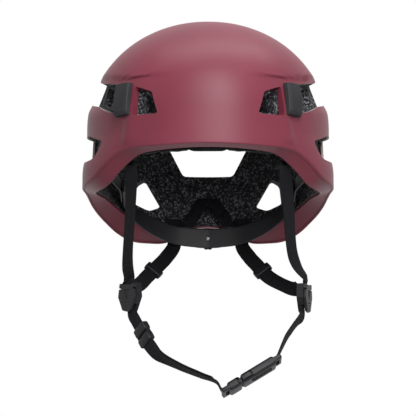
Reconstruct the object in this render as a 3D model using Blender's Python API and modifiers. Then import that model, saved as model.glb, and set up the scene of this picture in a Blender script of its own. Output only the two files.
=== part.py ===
"""Climbing helmet: hard shell over a foam liner, with pads, headband, headlamp clips and chin straps.

Metres, +Z up. The wearer faces -Y, and +X is the wearer's left. The world's origin is where the top of
the head meets the crown pad. Everything is modelled against the helmet's widest level, an empty that
carries all the pieces, and directions round the helmet are in degrees from the front.
"""

import math

import bmesh
import bpy
from mathutils import Matrix, Vector

# ---- Shell -----------------------------------------------------------------------------------
CROWN_HEIGHT = 0.0995       # crown above the widest level
HALF_WIDTH = 0.1095         # at the widest level
FRONT_LENGTH = 0.134        # widest level, middle to front
REAR_LENGTH = 0.139         # widest level, middle to back
PLAN_POWER = 2.15           # 2 is an ellipse, more is squarer
TEMPLE_FLARE = 0.0050       # how far the lower edge stands out at the temples
NAPE_TUCK = 0.020           # how far the skirt draws in at the nape
SHELL_THICKNESS = 0.0022
BEVEL_FRONT = 0.0125        # how far the face under the crease turns in, in front
BEVEL_REAR = 0.0145
# Height of the crease where the shell turns under, by degrees from the front.
CREASE_LINE = [
    (0, -0.0315), (20, -0.0322), (35, -0.0330), (45, -0.0413), (55, -0.0520), (68, -0.0562),
    (90, -0.0575), (104, -0.0650), (120, -0.0768), (130, -0.0857), (140, -0.0915), (150, -0.0922),
    (160, -0.0905), (171, -0.0800), (180, -0.0754),
]
# Height of the inner edge of the face under the crease.
EDGE_LINE = [
    (0, -0.0330), (22, -0.0345), (30, -0.0365), (40, -0.0460), (50, -0.0570), (57, -0.0600),
    (68, -0.0602), (90, -0.0590), (104, -0.0590), (118, -0.0645), (130, -0.0715), (142, -0.0785),
    (155, -0.0800), (168, -0.0745), (180, -0.0715),
]

# ---- Foam ------------------------------------------------------------------------------------
FIT_GAP = 0.0005            # between the shell and the foam
FOAM_CROWN = 0.025
FOAM_SIDE = 0.0175
FOAM_EDGE = 0.0130
FOAM_EDGE_RISE = 0.0015     # foam's lower face above the shell's lower edge

# ---- Vents. Each is a row of stations round the helmet, and each station is its lower and its
# upper point, in degrees from the front and height.
FRONT_VENT = [((18.6, -0.005), (21.3, 0.0143)), ((29.4, -0.005), (29.2, 0.0207))]
UPPER_VENT = [
    ((32.0, -0.004), (32.0, 0.0235)), ((44.0, 0.0025), (44.0, 0.0280)),
    ((57.0, 0.0120), (56.0, 0.0335)), ((69.0, 0.0170), (69.0, 0.0390)),
    ((80.0, 0.0215), (80.0, 0.0440)), ((94.0, 0.0240), (94.0, 0.0475)),
    ((106.0, 0.0270), (112.0, 0.0495)),
]
LOWER_VENT = [
    ((70.0, -0.0215), (70.5, -0.0160)), ((76.0, -0.0280), (80.0, -0.010)),
    ((91.0, -0.0285), (92.5, -0.006)), ((105.0, -0.028), (108.0, -0.003)),
]
REAR_TOP_VENT = [((122.0, 0.026), (124.0, 0.047)), ((143.0, 0.024), (146.0, 0.048))]
# Windows cut straight back, as outlines across and up, on the middle and on the wearer's left.
REAR_WINDOW = [(-0.0242, -0.0247), (0.0242, -0.0247), (0.0420, 0.0095), (-0.0420, 0.0095)]
SIDE_WINDOW = [
    (0.0612, -0.0304), (0.0457, -0.0572), (0.0564, -0.0621), (0.0707, -0.0565), (0.0690, -0.0365),
]
WINDOW_SPAN = (0.062, 0.150)    # from the front to the back of a cutter
WINDOW_LEDGE = 0.0035           # how much wider the shell's opening is
# Windows through the foam behind the long side vent, by degrees from the front.
FOAM_WINDOWS = [(48.0, 60.0), (64.0, 79.0), (83.5, 99.0)]
VENT_OUT = 0.012            # how far a cutter stands out of the shell
VENT_IN = 0.009             # how far it goes in where it only cuts the shell
FOAM_CUT_IN = 0.040         # how far it goes in where it cuts the foam
FOAM_LEDGE = 0.0022         # foam shown round a vent, inside the shell's edge
VENT_CORNER = 0.0020

# ---- Pads ------------------------------------------------------------------------------------
PAD_THICKNESS = 0.0065
PAD_GAP = 0.0009            # the foam's inner face is made of flats, so the gap is over its middle
BROW_PAD_HALF_ANGLE = 33.0
BROW_PAD_FOOT = -0.0365
BROW_PAD_TOP = -0.0080
CROWN_PAD_RADIUS = 0.046
SIDE_PAD_ANGLES = (62.0, 98.0)
SIDE_PAD_HEIGHTS = (-0.026, 0.010)

# ---- Headband --------------------------------------------------------------------------------
BAND_THICKNESS = 0.0016
BAND_GAP = 0.0011           # between an arm and the nape band's wing
BAND_SIDE_ROOM = 0.0330     # from the shell's side to the nape band's wing
BAND_REAR_ROOM = 0.0472     # from the shell's back to the nape band's middle
BAND_HALF_WIDTH = HALF_WIDTH - BAND_SIDE_ROOM
BAND_REACH = REAR_LENGTH - BAND_REAR_ROOM
# Half of the nape band from the front end of its wing to the middle: shares of its half width and of
# its reach, height of its middle, width.
BAND_ROUTE = [
    (1.0, 0.131, -0.0478, 0.0120), (1.0, 0.305, -0.0531, 0.0122),
    (1.0, 0.436, -0.0571, 0.0125), (0.941, 0.610, -0.0640, 0.0132),
    (0.817, 0.763, -0.0712, 0.0142), (0.641, 0.872, -0.0785, 0.0158),
    (0.370, 0.964, -0.0855, 0.0177), (0.0, 1.0, -0.0878, 0.0185),
]
ARM_REAR_SHARE = 0.370      # rear end of an arm, as a share of the band's reach
ARM_WIDTH = 0.0105
ARM_MIDDLE_RISE = 0.0048    # middle of an arm over its rear end
ARM_MIDDLE_SWELL = 0.0010   # and how much wider and further out it is there
TEMPLE_SIDE_ROOM = 0.0227   # from the shell's side to the arm at the temple
TEMPLE_X = HALF_WIDTH - TEMPLE_SIDE_ROOM
TEMPLE_Y = -0.0300
TEMPLE_Z = -0.0385
TEMPLE_WIDTH = 0.0135
TEMPLE_TIP = (0.0006, -0.0070, 0.0014)  # an arm's front end past its temple pin
TEMPLE_TIP_TAPER = 0.6
TEMPLE_PIN_INSET = 0.0009   # head of the pin inside the arm's face
TEMPLE_SHANK_RADIUS = 0.0020
TEMPLE_HOLE_RADIUS = 0.0024
TEMPLE_HEAD_RADIUS = 0.0045
TEMPLE_HEAD_THICKNESS = 0.0014
TEMPLE_SHANK_LENGTH = 0.0110
DIAL_RADIUS = 0.0104
DIAL_THICKNESS = 0.0062
DIAL_GRIPS = 14
DIAL_TAPER = 0.94           # its rear face against its front
DIAL_GRIP_FOOT = 0.93       # foot of its grips against their crest
DIAL_GAP = 0.0004
COVER_THICKNESS = 0.0042
COVER_HALF_WIDTH = 0.0200
COVER_HALF_HEIGHT = 0.0088
COVER_GAP = 0.0004
AXLE_RADIUS = 0.0021
AXLE_HOLE_RADIUS = 0.0026
AXLE_PROUD = 0.0012         # axle's tip in front of the nape band's inner face
AXLE_CHAMFER = 0.0005
PINION_RADIUS = 0.0050
PINION_THICKNESS = 0.0018
PINION_CLEARANCE = 0.0005

# ---- Yoke ------------------------------------------------------------------------------------
YOKE_TOP_Z = -0.0470
YOKE_TOP_HALF_WIDTH = 0.0130
YOKE_TOP_TAPER = 0.0025
YOKE_SHOULDER = 0.0050
YOKE_FOOT_OUT = 0.36 * BAND_HALF_WIDTH
YOKE_FOOT_RISE = 0.0016     # outer corner of a foot over its inner one
YOKE_FOOT_IN = 0.0138
YOKE_CROTCH_Z = -0.0530
YOKE_THICKNESS = 0.0014
YOKE_GAP = 0.0024           # top of the yoke to the foam's inner face
YOKE_FOOT_GAP = 0.0008      # feet to the nape band's upper edge
PLUG_Z = -0.0640
PLUG_RADIUS = 0.0040
PLUG_THICKNESS = 0.0014
PLUG_GAP = 0.0006
PLUG_SHANK_RADIUS = 0.0018
PLUG_HOLE_RADIUS = 0.0022
PLUG_SHANK_LENGTH = 0.0120

# ---- Lamp clips ------------------------------------------------------------------------------
CLIP_ANGLES = (30.2, 37.9)
CLIP_HEIGHTS = (-0.0045, 0.0238)
CLIP_GAP = 0.0004           # over the shell's surface
CLIP_THICKNESS = 0.0040
CLIP_RIDGE = 0.0012
CLIP_DRAFT = 0.0022         # how much smaller a clip's face is than its foot
UPPER_RECESS = 0.0080       # depth of the foam's face in the long side vent
REAR_CLIP_Z = -0.0420
REAR_CLIP_HALF_HEIGHT = 0.0150
REAR_CLIP_WIDTH = 0.0170
REAR_CLIP_GAP = 0.0003
REAR_CLIP_SLOT = 0.0062     # room for a lamp's band behind the clip
REAR_CLIP_THICKNESS = 0.0030
REAR_CLIP_FOOT = 0.0050
REAR_CLIP_ROUND = 0.0020
REAR_CLIP_NOSE = 0.0040
REAR_CLIP_FILLET = 0.0010
REAR_CLIP_LIFT = 0.0006     # free end off the foot's face

# ---- Straps ----------------------------------------------------------------------------------
ROUTE_HALF_WIDTH = 0.1095   # half width of the helmet that the straps' routes are drawn for
WEBBING_WIDTH = 0.0130
WEBBING_THICKNESS = 0.0013
STRAP_GAP = 0.0004
ANCHOR_WIDTH = 0.0190
ANCHOR_HEIGHT = 0.0075
ANCHOR_THICKNESS = 0.0018
ANCHOR_GAP = 0.0020
ANCHOR_CLEARANCE = 0.0010   # strap to its anchor
ANCHOR_DROPS = (0.0030, 0.0070)     # where a strap hangs straight under its anchor
ANCHOR_BEVEL = 0.0005
FRONT_ANCHOR = (40.5, -0.0345)
REAR_ANCHOR = (160.0, -0.0760)
SLIDER_LENGTH = 0.0085
SLIDER_WALL = 0.0016
SLIDER_SLACK = 0.0006
SLIDER_BEVEL = 0.0006
DIVIDER_CENTRES = {"left": (0.0869, 0.003, -0.1517), "right": (-0.0703, 0.003, -0.1508)}
DIVIDER_TURNS = {"left": 73.0, "right": -50.0}  # outer face, in degrees from the front
# Half of the divider's outline, from its foot up to its head.
DIVIDER_OUTLINE = [(0.0, -0.0135), (0.0085, -0.0085), (0.0124, 0.0020), (0.0110, 0.0135)]
DIVIDER_BASE = 0.0018
DIVIDER_CHEEK = 0.0024
LEVER_THICKNESS = 0.0026
LEVER_GAP = 0.0010
LEVER_HINGE_Y = 0.0104      # hinge above the divider's middle
LEVER_TOP = 0.0119          # short enough to turn clear of the strap
LEVER_FOOT = -0.0125
HINGE_PIN_RADIUS = 0.0006
HINGE_HOLE_RADIUS = 0.0009
HINGE_PIN_INSET = 0.0006
DIVIDER_STOPS = (0.0200, 0.0155, 0.0080, 0.0020)  # where a front strap runs straight in a divider
DIVIDER_SHIFT = 0.0020      # how far the straps run off the divider's middle
CHIN_RIGHT_HEAD = (0.0, -0.0080, -0.0150)       # the chin strap's stops down its divider
CHIN_LEFT_HEAD = (0.0, -0.0080, -0.0145)
CHIN_RIGHT_SLOPE = (0.44, -0.388, -0.809)
CHIN_RIGHT_STRAIGHT = (0.0060, 0.0140, 0.0240, 0.0350)
ADJUSTER_PLACE = 0.0230     # middle of the adjuster down the straight stretch
ADJUSTER_LENGTH = 0.0190
ADJUSTER_WALL = 0.0016
ADJUSTER_SLACK = 0.0006
ADJUSTER_BEVEL = 0.0007
BUCKLE_AXIS = (0.83, 0.10, 0.50)
BUCKLE_FACE = (0.53, -0.20, -0.80)  # roughly where its outer face looks
BUCKLE_MOUTH = (0.0290, -0.048, -0.2270)
BUCKLE_WIDTH = 0.0225
BUCKLE_THICKNESS = 0.0080
BUCKLE_WALL = 0.0014
BUCKLE_BODY_LENGTH = 0.0340
BUCKLE_POCKET_DEPTH = 0.0240
BUCKLE_CLEARANCE = 0.0005
BUCKLE_BEVEL = 0.0008
MALE_LENGTH = 0.0135
ARM_LENGTH = 0.0200
ARM_THICKNESS = 0.0022
TONGUE_WIDTH = 0.0044
TONGUE_LENGTH = 0.0215
BUTTON_LENGTH = 0.0095
BUTTON_PROUD = 0.0016       # finger pads outside the buckle's sides
NOTCH_CLEARANCE = 0.0014
BAR_SLOT = 0.0034           # slot for the webbing inside a web bar
BAR_SLOT_ROOM = 0.0012      # how much longer the slot is than the webbing is wide
BAR_WIDTH = 0.0028
BAR_THICKNESS = 0.0040
BAR_BEVEL = 0.0005
BAR_ROOT = 0.0040           # how far a piece joined to the buckle runs into it
BAR_APPROACH = [(0.0068, 1.5), (0.0036, 1.1)]   # strap beyond its slot: distance, and lift in bar heights
ARM_ROOT = 0.0035           # squeeze arm inside the male half
ARM_SEAT_LENGTH = 0.0080
ARM_SEAT_ROOM = 0.0012

# ---- Mesh fineness ---------------------------------------------------------------------------
DOME_COLUMNS = 56
DOME_ROWS = 12
ROUTE_STEPS = 4             # points of a strap between two stops

HEAD_HEIGHT = CROWN_HEIGHT - SHELL_THICKNESS - FIT_GAP - FOAM_CROWN - PAD_GAP - PAD_THICKNESS


# ---- The shell's surface ---------------------------------------------------------------------
def ease(x):
    """Smooth step from 0 to 1."""
    x = min(1.0, max(0.0, x))
    return x * x * (3 - 2 * x)


def read_curve(points, x):
    """Smooth value at x of a curve through (x, y) points, flat at both ends."""
    if x <= points[0][0]:
        return points[0][1]
    if x >= points[-1][0]:
        return points[-1][1]
    i = max(k for k in range(len(points) - 1) if points[k][0] <= x)
    (x0, y0), (x1, y1) = points[i], points[i + 1]
    before, after = points[max(i - 1, 0)], points[min(i + 2, len(points) - 1)]
    slope0 = (y1 - before[1]) / (x1 - before[0]) if i > 0 else 0.0
    slope1 = (after[1] - y0) / (after[0] - x0) if i + 2 < len(points) else 0.0
    h = x1 - x0
    t = (x - x0) / h
    return (
        (2 * t**3 - 3 * t**2 + 1) * y0
        + (t**3 - 2 * t**2 + t) * h * slope0
        + (3 * t**2 - 2 * t**3) * y1
        + (t**3 - t**2) * h * slope1
    )


def from_front(angle):
    """Degrees from the front, 0 to 180."""
    return abs(math.degrees(math.remainder(angle, 2 * math.pi)))


def crease_height(angle):
    return read_curve(CREASE_LINE, from_front(angle))


def edge_height(angle):
    return read_curve(EDGE_LINE, from_front(angle))


def oval_radius(angle):
    """Distance from the middle to the widest oval."""
    length = FRONT_LENGTH if math.cos(angle) > 0 else REAR_LENGTH
    side = (abs(math.sin(angle)) / HALF_WIDTH) ** PLAN_POWER
    along = (abs(math.cos(angle)) / length) ** PLAN_POWER
    return (side + along) ** (-1 / PLAN_POWER)


def surface_radius(angle, height):
    """Level distance from the middle to the shell's outer surface."""
    away = from_front(angle)
    radius = oval_radius(angle)
    if height > 0:
        radius *= math.sqrt(max(0.0, 1 - (height / CROWN_HEIGHT) ** 2))
    flare = ease(1 - abs(away - 66) / 36) * ease((-height - 0.014) / 0.030)
    tuck = ease((away - 92) / 74) * ease((-height - 0.004) / 0.100)
    return radius + TEMPLE_FLARE * flare - NAPE_TUCK * tuck


def polar(angle, radius, height):
    """Point at an angle from the front, a level distance from the middle and a height."""
    return Vector((radius * math.sin(angle), -radius * math.cos(angle), height))


def surface_at(angle, height):
    return polar(angle, surface_radius(angle, height), height)


def normal_at(angle, height):
    """Unit normal of the outer surface at an angle and a height, pointing out."""
    step = 0.002
    high = min(height + step, CROWN_HEIGHT * 0.999)
    up = surface_at(angle, high) - surface_at(angle, height - step)
    round_ = surface_at(angle + 0.01, height) - surface_at(angle - 0.01, height)
    normal = round_.cross(up).normalized()
    return normal if normal.dot(polar(angle, 1, 0.5)) > 0 else -normal


def under_surface(angle, height, depth):
    """Point at a depth under the outer surface."""
    return surface_at(angle, height) - normal_at(angle, height) * depth


def bevel_inset(angle):
    """How far the face under the crease turns in."""
    return BEVEL_FRONT + (BEVEL_REAR - BEVEL_FRONT) * ease((from_front(angle) - 80) / 40)


def wall_foot(angle, depth):
    """Lower end of a wall at a depth, so that it stands as deep over the face under the crease."""
    crease = crease_height(angle)
    slope = (edge_height(angle) - crease) / bevel_inset(angle)
    return crease + depth * (slope + math.hypot(slope, 1))


def head_foot(angle, depth=0.0):
    """Lower end of the foam's inner face."""
    return max(crease_height(angle), edge_height(angle) + 2 * FOAM_EDGE_RISE)


def dome_place(angle, share, depth, foot_of=wall_foot):
    """Point under the outer surface, a share of the way from the crown, 0, to a wall's foot, 1."""
    turn = share * (math.pi / 2 - foot_of(angle, depth) / CROWN_HEIGHT)
    if share < 0.001:
        return Vector((0, 0, CROWN_HEIGHT - depth))
    if turn < math.pi / 2:
        return under_surface(angle, CROWN_HEIGHT * math.cos(turn), depth)
    return under_surface(angle, -(turn - math.pi / 2) * CROWN_HEIGHT, depth)


def edge_place(angle, lift, inset):
    """Point over the shell's lower edge, further in by an inset."""
    radius = surface_radius(angle, crease_height(angle)) - bevel_inset(angle) - inset
    return polar(angle, radius, edge_height(angle) + lift)


def foam_depth(share):
    """Depth of the foam's inner face."""
    foam = FOAM_CROWN + (FOAM_SIDE - FOAM_CROWN) * ease(share / 0.7)
    foam += (FOAM_EDGE - FOAM_SIDE) * ease((share - 0.72) / 0.26)
    return SHELL_THICKNESS + FIT_GAP + foam


# ---- Objects ---------------------------------------------------------------------------------
def make_material(name, color, roughness, metallic=0.0):
    material = bpy.data.materials.new(name)
    material.use_nodes = True
    shader = material.node_tree.nodes["Principled BSDF"]
    shader.inputs["Base Color"].default_value = (*color, 1.0)
    shader.inputs["Roughness"].default_value = roughness
    shader.inputs["Metallic"].default_value = metallic
    return material


class Build:
    """The collections, the carrying empty and the materials."""

    def __init__(self):
        for obj in list(bpy.data.objects):
            bpy.data.objects.remove(obj)
        scene = bpy.context.scene.collection
        self.parts = bpy.data.collections.new("climbing_helmet")
        self.cutters = bpy.data.collections.new("cutters")
        scene.children.link(self.parts)
        scene.children.link(self.cutters)
        self.cutters.hide_render = True
        self.level = bpy.data.objects.new("widest_level", None)
        self.level.location = (0, 0, -HEAD_HEIGHT)
        self.parts.objects.link(self.level)
        self.materials = {
            "shell": make_material("satin_burgundy_shell", (0.21, 0.045, 0.075), 0.38),
            "foam": make_material("expanded_foam", (0.02, 0.02, 0.021), 0.85),
            "pad": make_material("knitted_pad", (0.012, 0.012, 0.014), 0.95),
            "plastic": make_material("moulded_nylon", (0.025, 0.025, 0.028), 0.5),
            "webbing": make_material("woven_webbing", (0.03, 0.03, 0.032), 0.9),
            "steel": make_material("bright_pin", (0.6, 0.6, 0.6), 0.3, 1.0),
        }

    def add(self, name, mesh, material, place=None):
        """A piece of the helmet, carried by the widest level."""
        obj = bpy.data.objects.new(name, mesh)
        obj.parent = self.level
        obj.matrix_local = place if place is not None else Matrix.Identity(4)
        mesh.materials.append(self.materials[material])
        self.parts.objects.link(obj)
        return obj

    def add_cutter(self, name, mesh, place=None):
        obj = bpy.data.objects.new(name, mesh)
        obj.parent = self.level
        obj.matrix_local = place if place is not None else Matrix.Identity(4)
        obj.hide_render = True
        obj.display_type = "WIRE"
        self.cutters.objects.link(obj)
        return obj


def finish_mesh(name, bm, outward=True, triangles=False):
    """Turns a bmesh into a mesh, with its faces outward where it is closed."""
    if outward:
        bmesh.ops.recalc_face_normals(bm, faces=bm.faces)
    if triangles:
        bmesh.ops.triangulate(bm, faces=bm.faces)
    mesh = bpy.data.meshes.new(name)
    bm.to_mesh(mesh)
    bm.free()
    return mesh


def box(name, size, centre=(0, 0, 0), bevel=0.0):
    """A box's mesh, with its edges bevelled where a bevel is given."""
    bm = bmesh.new()
    bmesh.ops.create_cube(bm, size=1)
    bmesh.ops.scale(bm, verts=bm.verts, vec=size)
    bmesh.ops.translate(bm, verts=bm.verts, vec=centre)
    if bevel > 0:
        bmesh.ops.bevel(
            bm, geom=bm.edges[:], offset=bevel, segments=1, affect="EDGES", profile=0.5
        )
    return finish_mesh(name, bm)


def rod(name, radius, length, centre=(0, 0, 0), sides=20, top_radius=None):
    """A cylinder's mesh along Z."""
    bm = bmesh.new()
    bmesh.ops.create_cone(
        bm, cap_ends=True, segments=sides, radius1=radius,
        radius2=radius if top_radius is None else top_radius, depth=length,
    )
    bmesh.ops.translate(bm, verts=bm.verts, vec=centre)
    return finish_mesh(name, bm)


def plate(name, outline, thickness, middle=0.0):
    """A flat outline in the XY plane made solid, its thickness centred on a height."""
    curve = bpy.data.curves.new(name, "CURVE")
    curve.dimensions = "2D"
    curve.fill_mode = "BOTH"
    curve.extrude = thickness / 2
    spline = curve.splines.new("POLY")
    spline.points.add(len(outline) - 1)
    for point, (x, y) in zip(spline.points, outline):
        point.co = (x, y, 0, 1)
    spline.use_cyclic_u = True
    guide = bpy.data.objects.new(name, curve)
    bpy.context.scene.collection.objects.link(guide)
    bpy.context.view_layer.update()
    evaluated = guide.evaluated_get(bpy.context.evaluated_depsgraph_get())
    mesh = bpy.data.meshes.new_from_object(evaluated)
    bpy.data.objects.remove(guide)
    bm = bmesh.new()
    bm.from_mesh(mesh)
    bmesh.ops.remove_doubles(bm, verts=bm.verts, dist=0.00001)
    bmesh.ops.translate(bm, verts=bm.verts, vec=(0, 0, middle))
    return finish_mesh(name, bm)


def cut(obj, cutter, operation="DIFFERENCE"):
    modifier = obj.modifiers.new(cutter.name, "BOOLEAN")
    modifier.operation = operation
    modifier.solver = "EXACT"
    modifier.object = cutter


def solidify(obj, thickness, offset=-1.0):
    modifier = obj.modifiers.new("thickness", "SOLIDIFY")
    modifier.thickness = thickness
    modifier.offset = offset
    modifier.use_even_offset = True


def facing(origin, x_axis, y_axis):
    """Placement at an origin with given X and roughly given Y directions."""
    x = Vector(x_axis).normalized()
    z = x.cross(Vector(y_axis)).normalized()
    y = z.cross(x)
    turn = Matrix((x, y, z)).transposed()
    return Matrix.Translation(origin) @ turn.to_4x4()


# ---- Shell and foam --------------------------------------------------------------------------
def dome_sheet(bm, depth_of_share, foot_of=wall_foot):
    """Half a sphere laid under the shell's surface, open at its foot. Returns its vertices."""
    made = bmesh.ops.create_uvsphere(
        bm, u_segments=DOME_COLUMNS, v_segments=2 * DOME_ROWS, radius=1
    )["verts"]
    low = [v for v in made if v.co.z < -0.001]
    kept = [v for v in made if v.co.z >= -0.001]
    bmesh.ops.delete(bm, geom=low, context="VERTS")
    for v in kept:
        share = math.acos(max(-1.0, min(1.0, v.co.z))) / (math.pi / 2)
        angle = math.atan2(v.co.x, -v.co.y) if share > 0.001 else 0.0
        v.co = dome_place(angle, min(1.0, share), depth_of_share(share), foot_of)
    return kept


def rim_edges(bm, verts):
    inside = set(verts)
    return [e for e in bm.edges if e.is_boundary and set(e.verts) <= inside]


def carry_rim(bm, edges, place):
    """Extrudes an open rim to where a function of the angle puts it. Returns the new rim."""
    made = bmesh.ops.extrude_edge_only(bm, edges=edges)["geom"]
    verts = [g for g in made if isinstance(g, bmesh.types.BMVert)]
    for v in verts:
        v.co = place(math.atan2(v.co.x, -v.co.y))
    return rim_edges(bm, verts)


def shell_mesh():
    """The shell: outer dome, the face under its crease, lower edge and inner dome."""
    bm = bmesh.new()
    outer = dome_sheet(bm, lambda share: 0.0)
    inner = dome_sheet(bm, lambda share: SHELL_THICKNESS)
    edge = carry_rim(bm, rim_edges(bm, outer), lambda a: edge_place(a, 0, 0))
    lip = carry_rim(bm, edge, lambda a: edge_place(a, SHELL_THICKNESS, 0))
    bmesh.ops.bridge_loops(bm, edges=lip + rim_edges(bm, inner))
    return finish_mesh("outer_shell", bm, triangles=True)


def foam_mesh():
    """The foam between the shell and the head."""
    skin = SHELL_THICKNESS + FIT_GAP
    bm = bmesh.new()
    outer = dome_sheet(bm, lambda share: skin)
    inner = dome_sheet(bm, foam_depth, head_foot)
    lower = carry_rim(
        bm, rim_edges(bm, outer), lambda a: edge_place(a, skin + FIT_GAP, FIT_GAP)
    )
    reach = foam_depth(1.0) - BEVEL_REAR
    foot = carry_rim(bm, lower, lambda a: edge_place(a, FOAM_EDGE_RISE, FIT_GAP))
    heel = carry_rim(
        bm, foot,
        lambda a: edge_place(a, FOAM_EDGE_RISE, reach + BEVEL_REAR - bevel_inset(a) - FIT_GAP),
    )
    bmesh.ops.bridge_loops(bm, edges=heel + rim_edges(bm, inner))
    return finish_mesh("foam_liner", bm, triangles=True)


def vent_cutter(name, stations, side, out, depth, ledge=0.0):
    """A block through a vent. A ledge makes it smaller all round."""
    bm = bmesh.new()
    rings = []
    last = len(stations) - 1
    for i, (low, high) in enumerate(stations):
        ring = []
        shrink = min(ledge, (high[1] - low[1]) / 4)
        for (degrees, height), rise in ((low, shrink), (high, -shrink)):
            angle = math.radians(degrees)
            if i == 0:
                angle += ledge / surface_radius(angle, height)
            if i == last:
                angle -= ledge / surface_radius(angle, height)
            angle *= side
            height += rise
            normal = normal_at(angle, height)
            foot = surface_at(angle, height)
            ring.append((foot + normal * out, foot - normal * depth))
        rings.append(ring)
    sections = []
    for (low_out, low_in), (high_out, high_in) in rings:
        sections.append([bm.verts.new(p) for p in (low_out, high_out, high_in, low_in)])
    for one, two in zip(sections, sections[1:]):
        for k in range(4):
            bm.faces.new((one[k], one[(k + 1) % 4], two[(k + 1) % 4], two[k]))
    bm.faces.new(sections[0])
    bm.faces.new(sections[-1])
    for section in (sections[0], sections[-1]):
        corners = [bm.edges.get((section[k], section[3 - k])) for k in (0, 1)]
        shortest = min((section[k].co - section[k + 1].co).length for k in (0, 2))
        bmesh.ops.bevel(
            bm, geom=corners, offset=min(VENT_CORNER, 0.4 * shortest), segments=3,
            affect="EDGES", profile=0.5,
        )
    return finish_mesh(name, bm, triangles=True)


def between(stations, first, last):
    """Stations of the part of a long vent between two directions."""
    def at(degrees):
        lows = [low for low, high in stations]
        highs = [high for low, high in stations]
        return ((degrees, read_curve(lows, degrees)), (degrees, read_curve(highs, degrees)))

    return [at(first), at((first + last) / 2), at(last)]


def window_cutter(build, name, outline, ledge):
    """A block cut straight back through a window's outline, wider all round by a ledge."""
    middle = sum((Vector(p) for p in outline), Vector((0, 0))) / len(outline)
    wide = [Vector(p) + (Vector(p) - middle).normalized() * ledge for p in outline]
    first, last = WINDOW_SPAN
    place = facing((0, (first + last) / 2, 0), (1, 0, 0), (0, 0, 1))
    return build.add_cutter(name, plate(name, wide, last - first), place)


def make_shell_and_foam(build):
    shell = build.add("outer_shell", shell_mesh(), "shell")
    foam = build.add("foam_liner", foam_mesh(), "foam")
    shell_vents = {
        "front": FRONT_VENT, "upper": UPPER_VENT, "lower": LOWER_VENT,
        "rear_top": REAR_TOP_VENT,
    }
    foam_vents = {"front": FRONT_VENT, "lower": LOWER_VENT[1:], "rear_top": REAR_TOP_VENT}
    for i, (first, last) in enumerate(FOAM_WINDOWS):
        foam_vents[f"upper_{i}"] = between(UPPER_VENT, first, last)
    for word, side in (("left", 1), ("right", -1)):
        for kind, stations in shell_vents.items():
            name = f"{kind}_{word}_shell_cutter"
            mesh = vent_cutter(name, stations, side, VENT_OUT, VENT_IN)
            cut(shell, build.add_cutter(name, mesh))
        name = f"upper_{word}_foam_recess"
        mesh = vent_cutter(name, UPPER_VENT, side, VENT_OUT, UPPER_RECESS)
        cut(foam, build.add_cutter(name, mesh))
        for kind, stations in foam_vents.items():
            name = f"{kind}_{word}_foam_cutter"
            mesh = vent_cutter(name, stations, side, VENT_OUT, FOAM_CUT_IN, FOAM_LEDGE)
            cut(foam, build.add_cutter(name, mesh))
    mirrored = [(-x, z) for x, z in reversed(SIDE_WINDOW)]
    for name, outline in (
        ("rear_window", REAR_WINDOW), ("side_window_left", SIDE_WINDOW),
        ("side_window_right", mirrored),
    ):
        cut(shell, window_cutter(build, f"{name}_shell", outline, WINDOW_LEDGE))
        cut(foam, window_cutter(build, f"{name}_foam", outline, 0.0))
    return shell, foam


# ---- Pads ------------------------------------------------------------------------------------
def grid_sheet(name, columns, rows, place):
    """A grid whose points are placed by their shares across and up."""
    bm = bmesh.new()
    bmesh.ops.create_grid(bm, x_segments=columns, y_segments=rows, size=1)
    for v in bm.verts:
        v.co = place((v.co.x + 1) / 2, (v.co.y + 1) / 2)
    return finish_mesh(name, bm, outward=False)


def inner_share(angle, height):
    """Share of the way down from the crown at a height."""
    turn = math.acos(max(-1.0, min(1.0, height / CROWN_HEIGHT)))
    if height < 0:
        turn = math.pi / 2 - height / CROWN_HEIGHT
    return turn / (math.pi / 2 - head_foot(angle) / CROWN_HEIGHT)


def pad_place(first, last, low, high):
    """Places a grid on the foam's inner face between two directions and two heights."""
    def place(u, v):
        angle = math.radians(first + (last - first) * u)
        height = low + (high - low) * v
        depth = foam_depth(inner_share(angle, height)) + PAD_GAP
        return under_surface(angle, height, depth)

    return place


def make_pads(build):
    brow = grid_sheet(
        "brow_pad", 12, 3,
        pad_place(-BROW_PAD_HALF_ANGLE, BROW_PAD_HALF_ANGLE, BROW_PAD_FOOT, BROW_PAD_TOP),
    )
    solidify(build.add("brow_pad", brow, "pad"), PAD_THICKNESS, -1.0)
    low, high = SIDE_PAD_HEIGHTS
    for word, side in (("left", 1), ("right", -1)):
        first, last = (side * a for a in SIDE_PAD_ANGLES)
        first, last = min(first, last), max(first, last)
        mesh = grid_sheet(f"side_pad_{word}", 6, 3, pad_place(first, last, low, high))
        solidify(build.add(f"side_pad_{word}", mesh, "pad"), PAD_THICKNESS, -1.0)

    bm = bmesh.new()
    bmesh.ops.create_circle(bm, cap_ends=True, segments=20, radius=1)
    bmesh.ops.poke(bm, faces=bm.faces[:])
    inner_edges = [e for e in bm.edges if not e.is_boundary]
    bmesh.ops.subdivide_edges(bm, edges=inner_edges, cuts=2)
    for v in bm.verts:
        share = math.hypot(v.co.x, v.co.y)
        angle = math.atan2(v.co.x, -v.co.y) if share > 0.001 else 0.0
        radius = CROWN_PAD_RADIUS * share / oval_radius(angle)
        height = CROWN_HEIGHT * math.sqrt(1 - radius**2)
        down = inner_share(angle, height)
        v.co = dome_place(angle, down, foam_depth(down) + PAD_GAP, head_foot)
    mesh = finish_mesh("crown_pad", bm, outward=False)
    solidify(build.add("crown_pad", mesh, "pad"), PAD_THICKNESS, -1.0)


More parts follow.
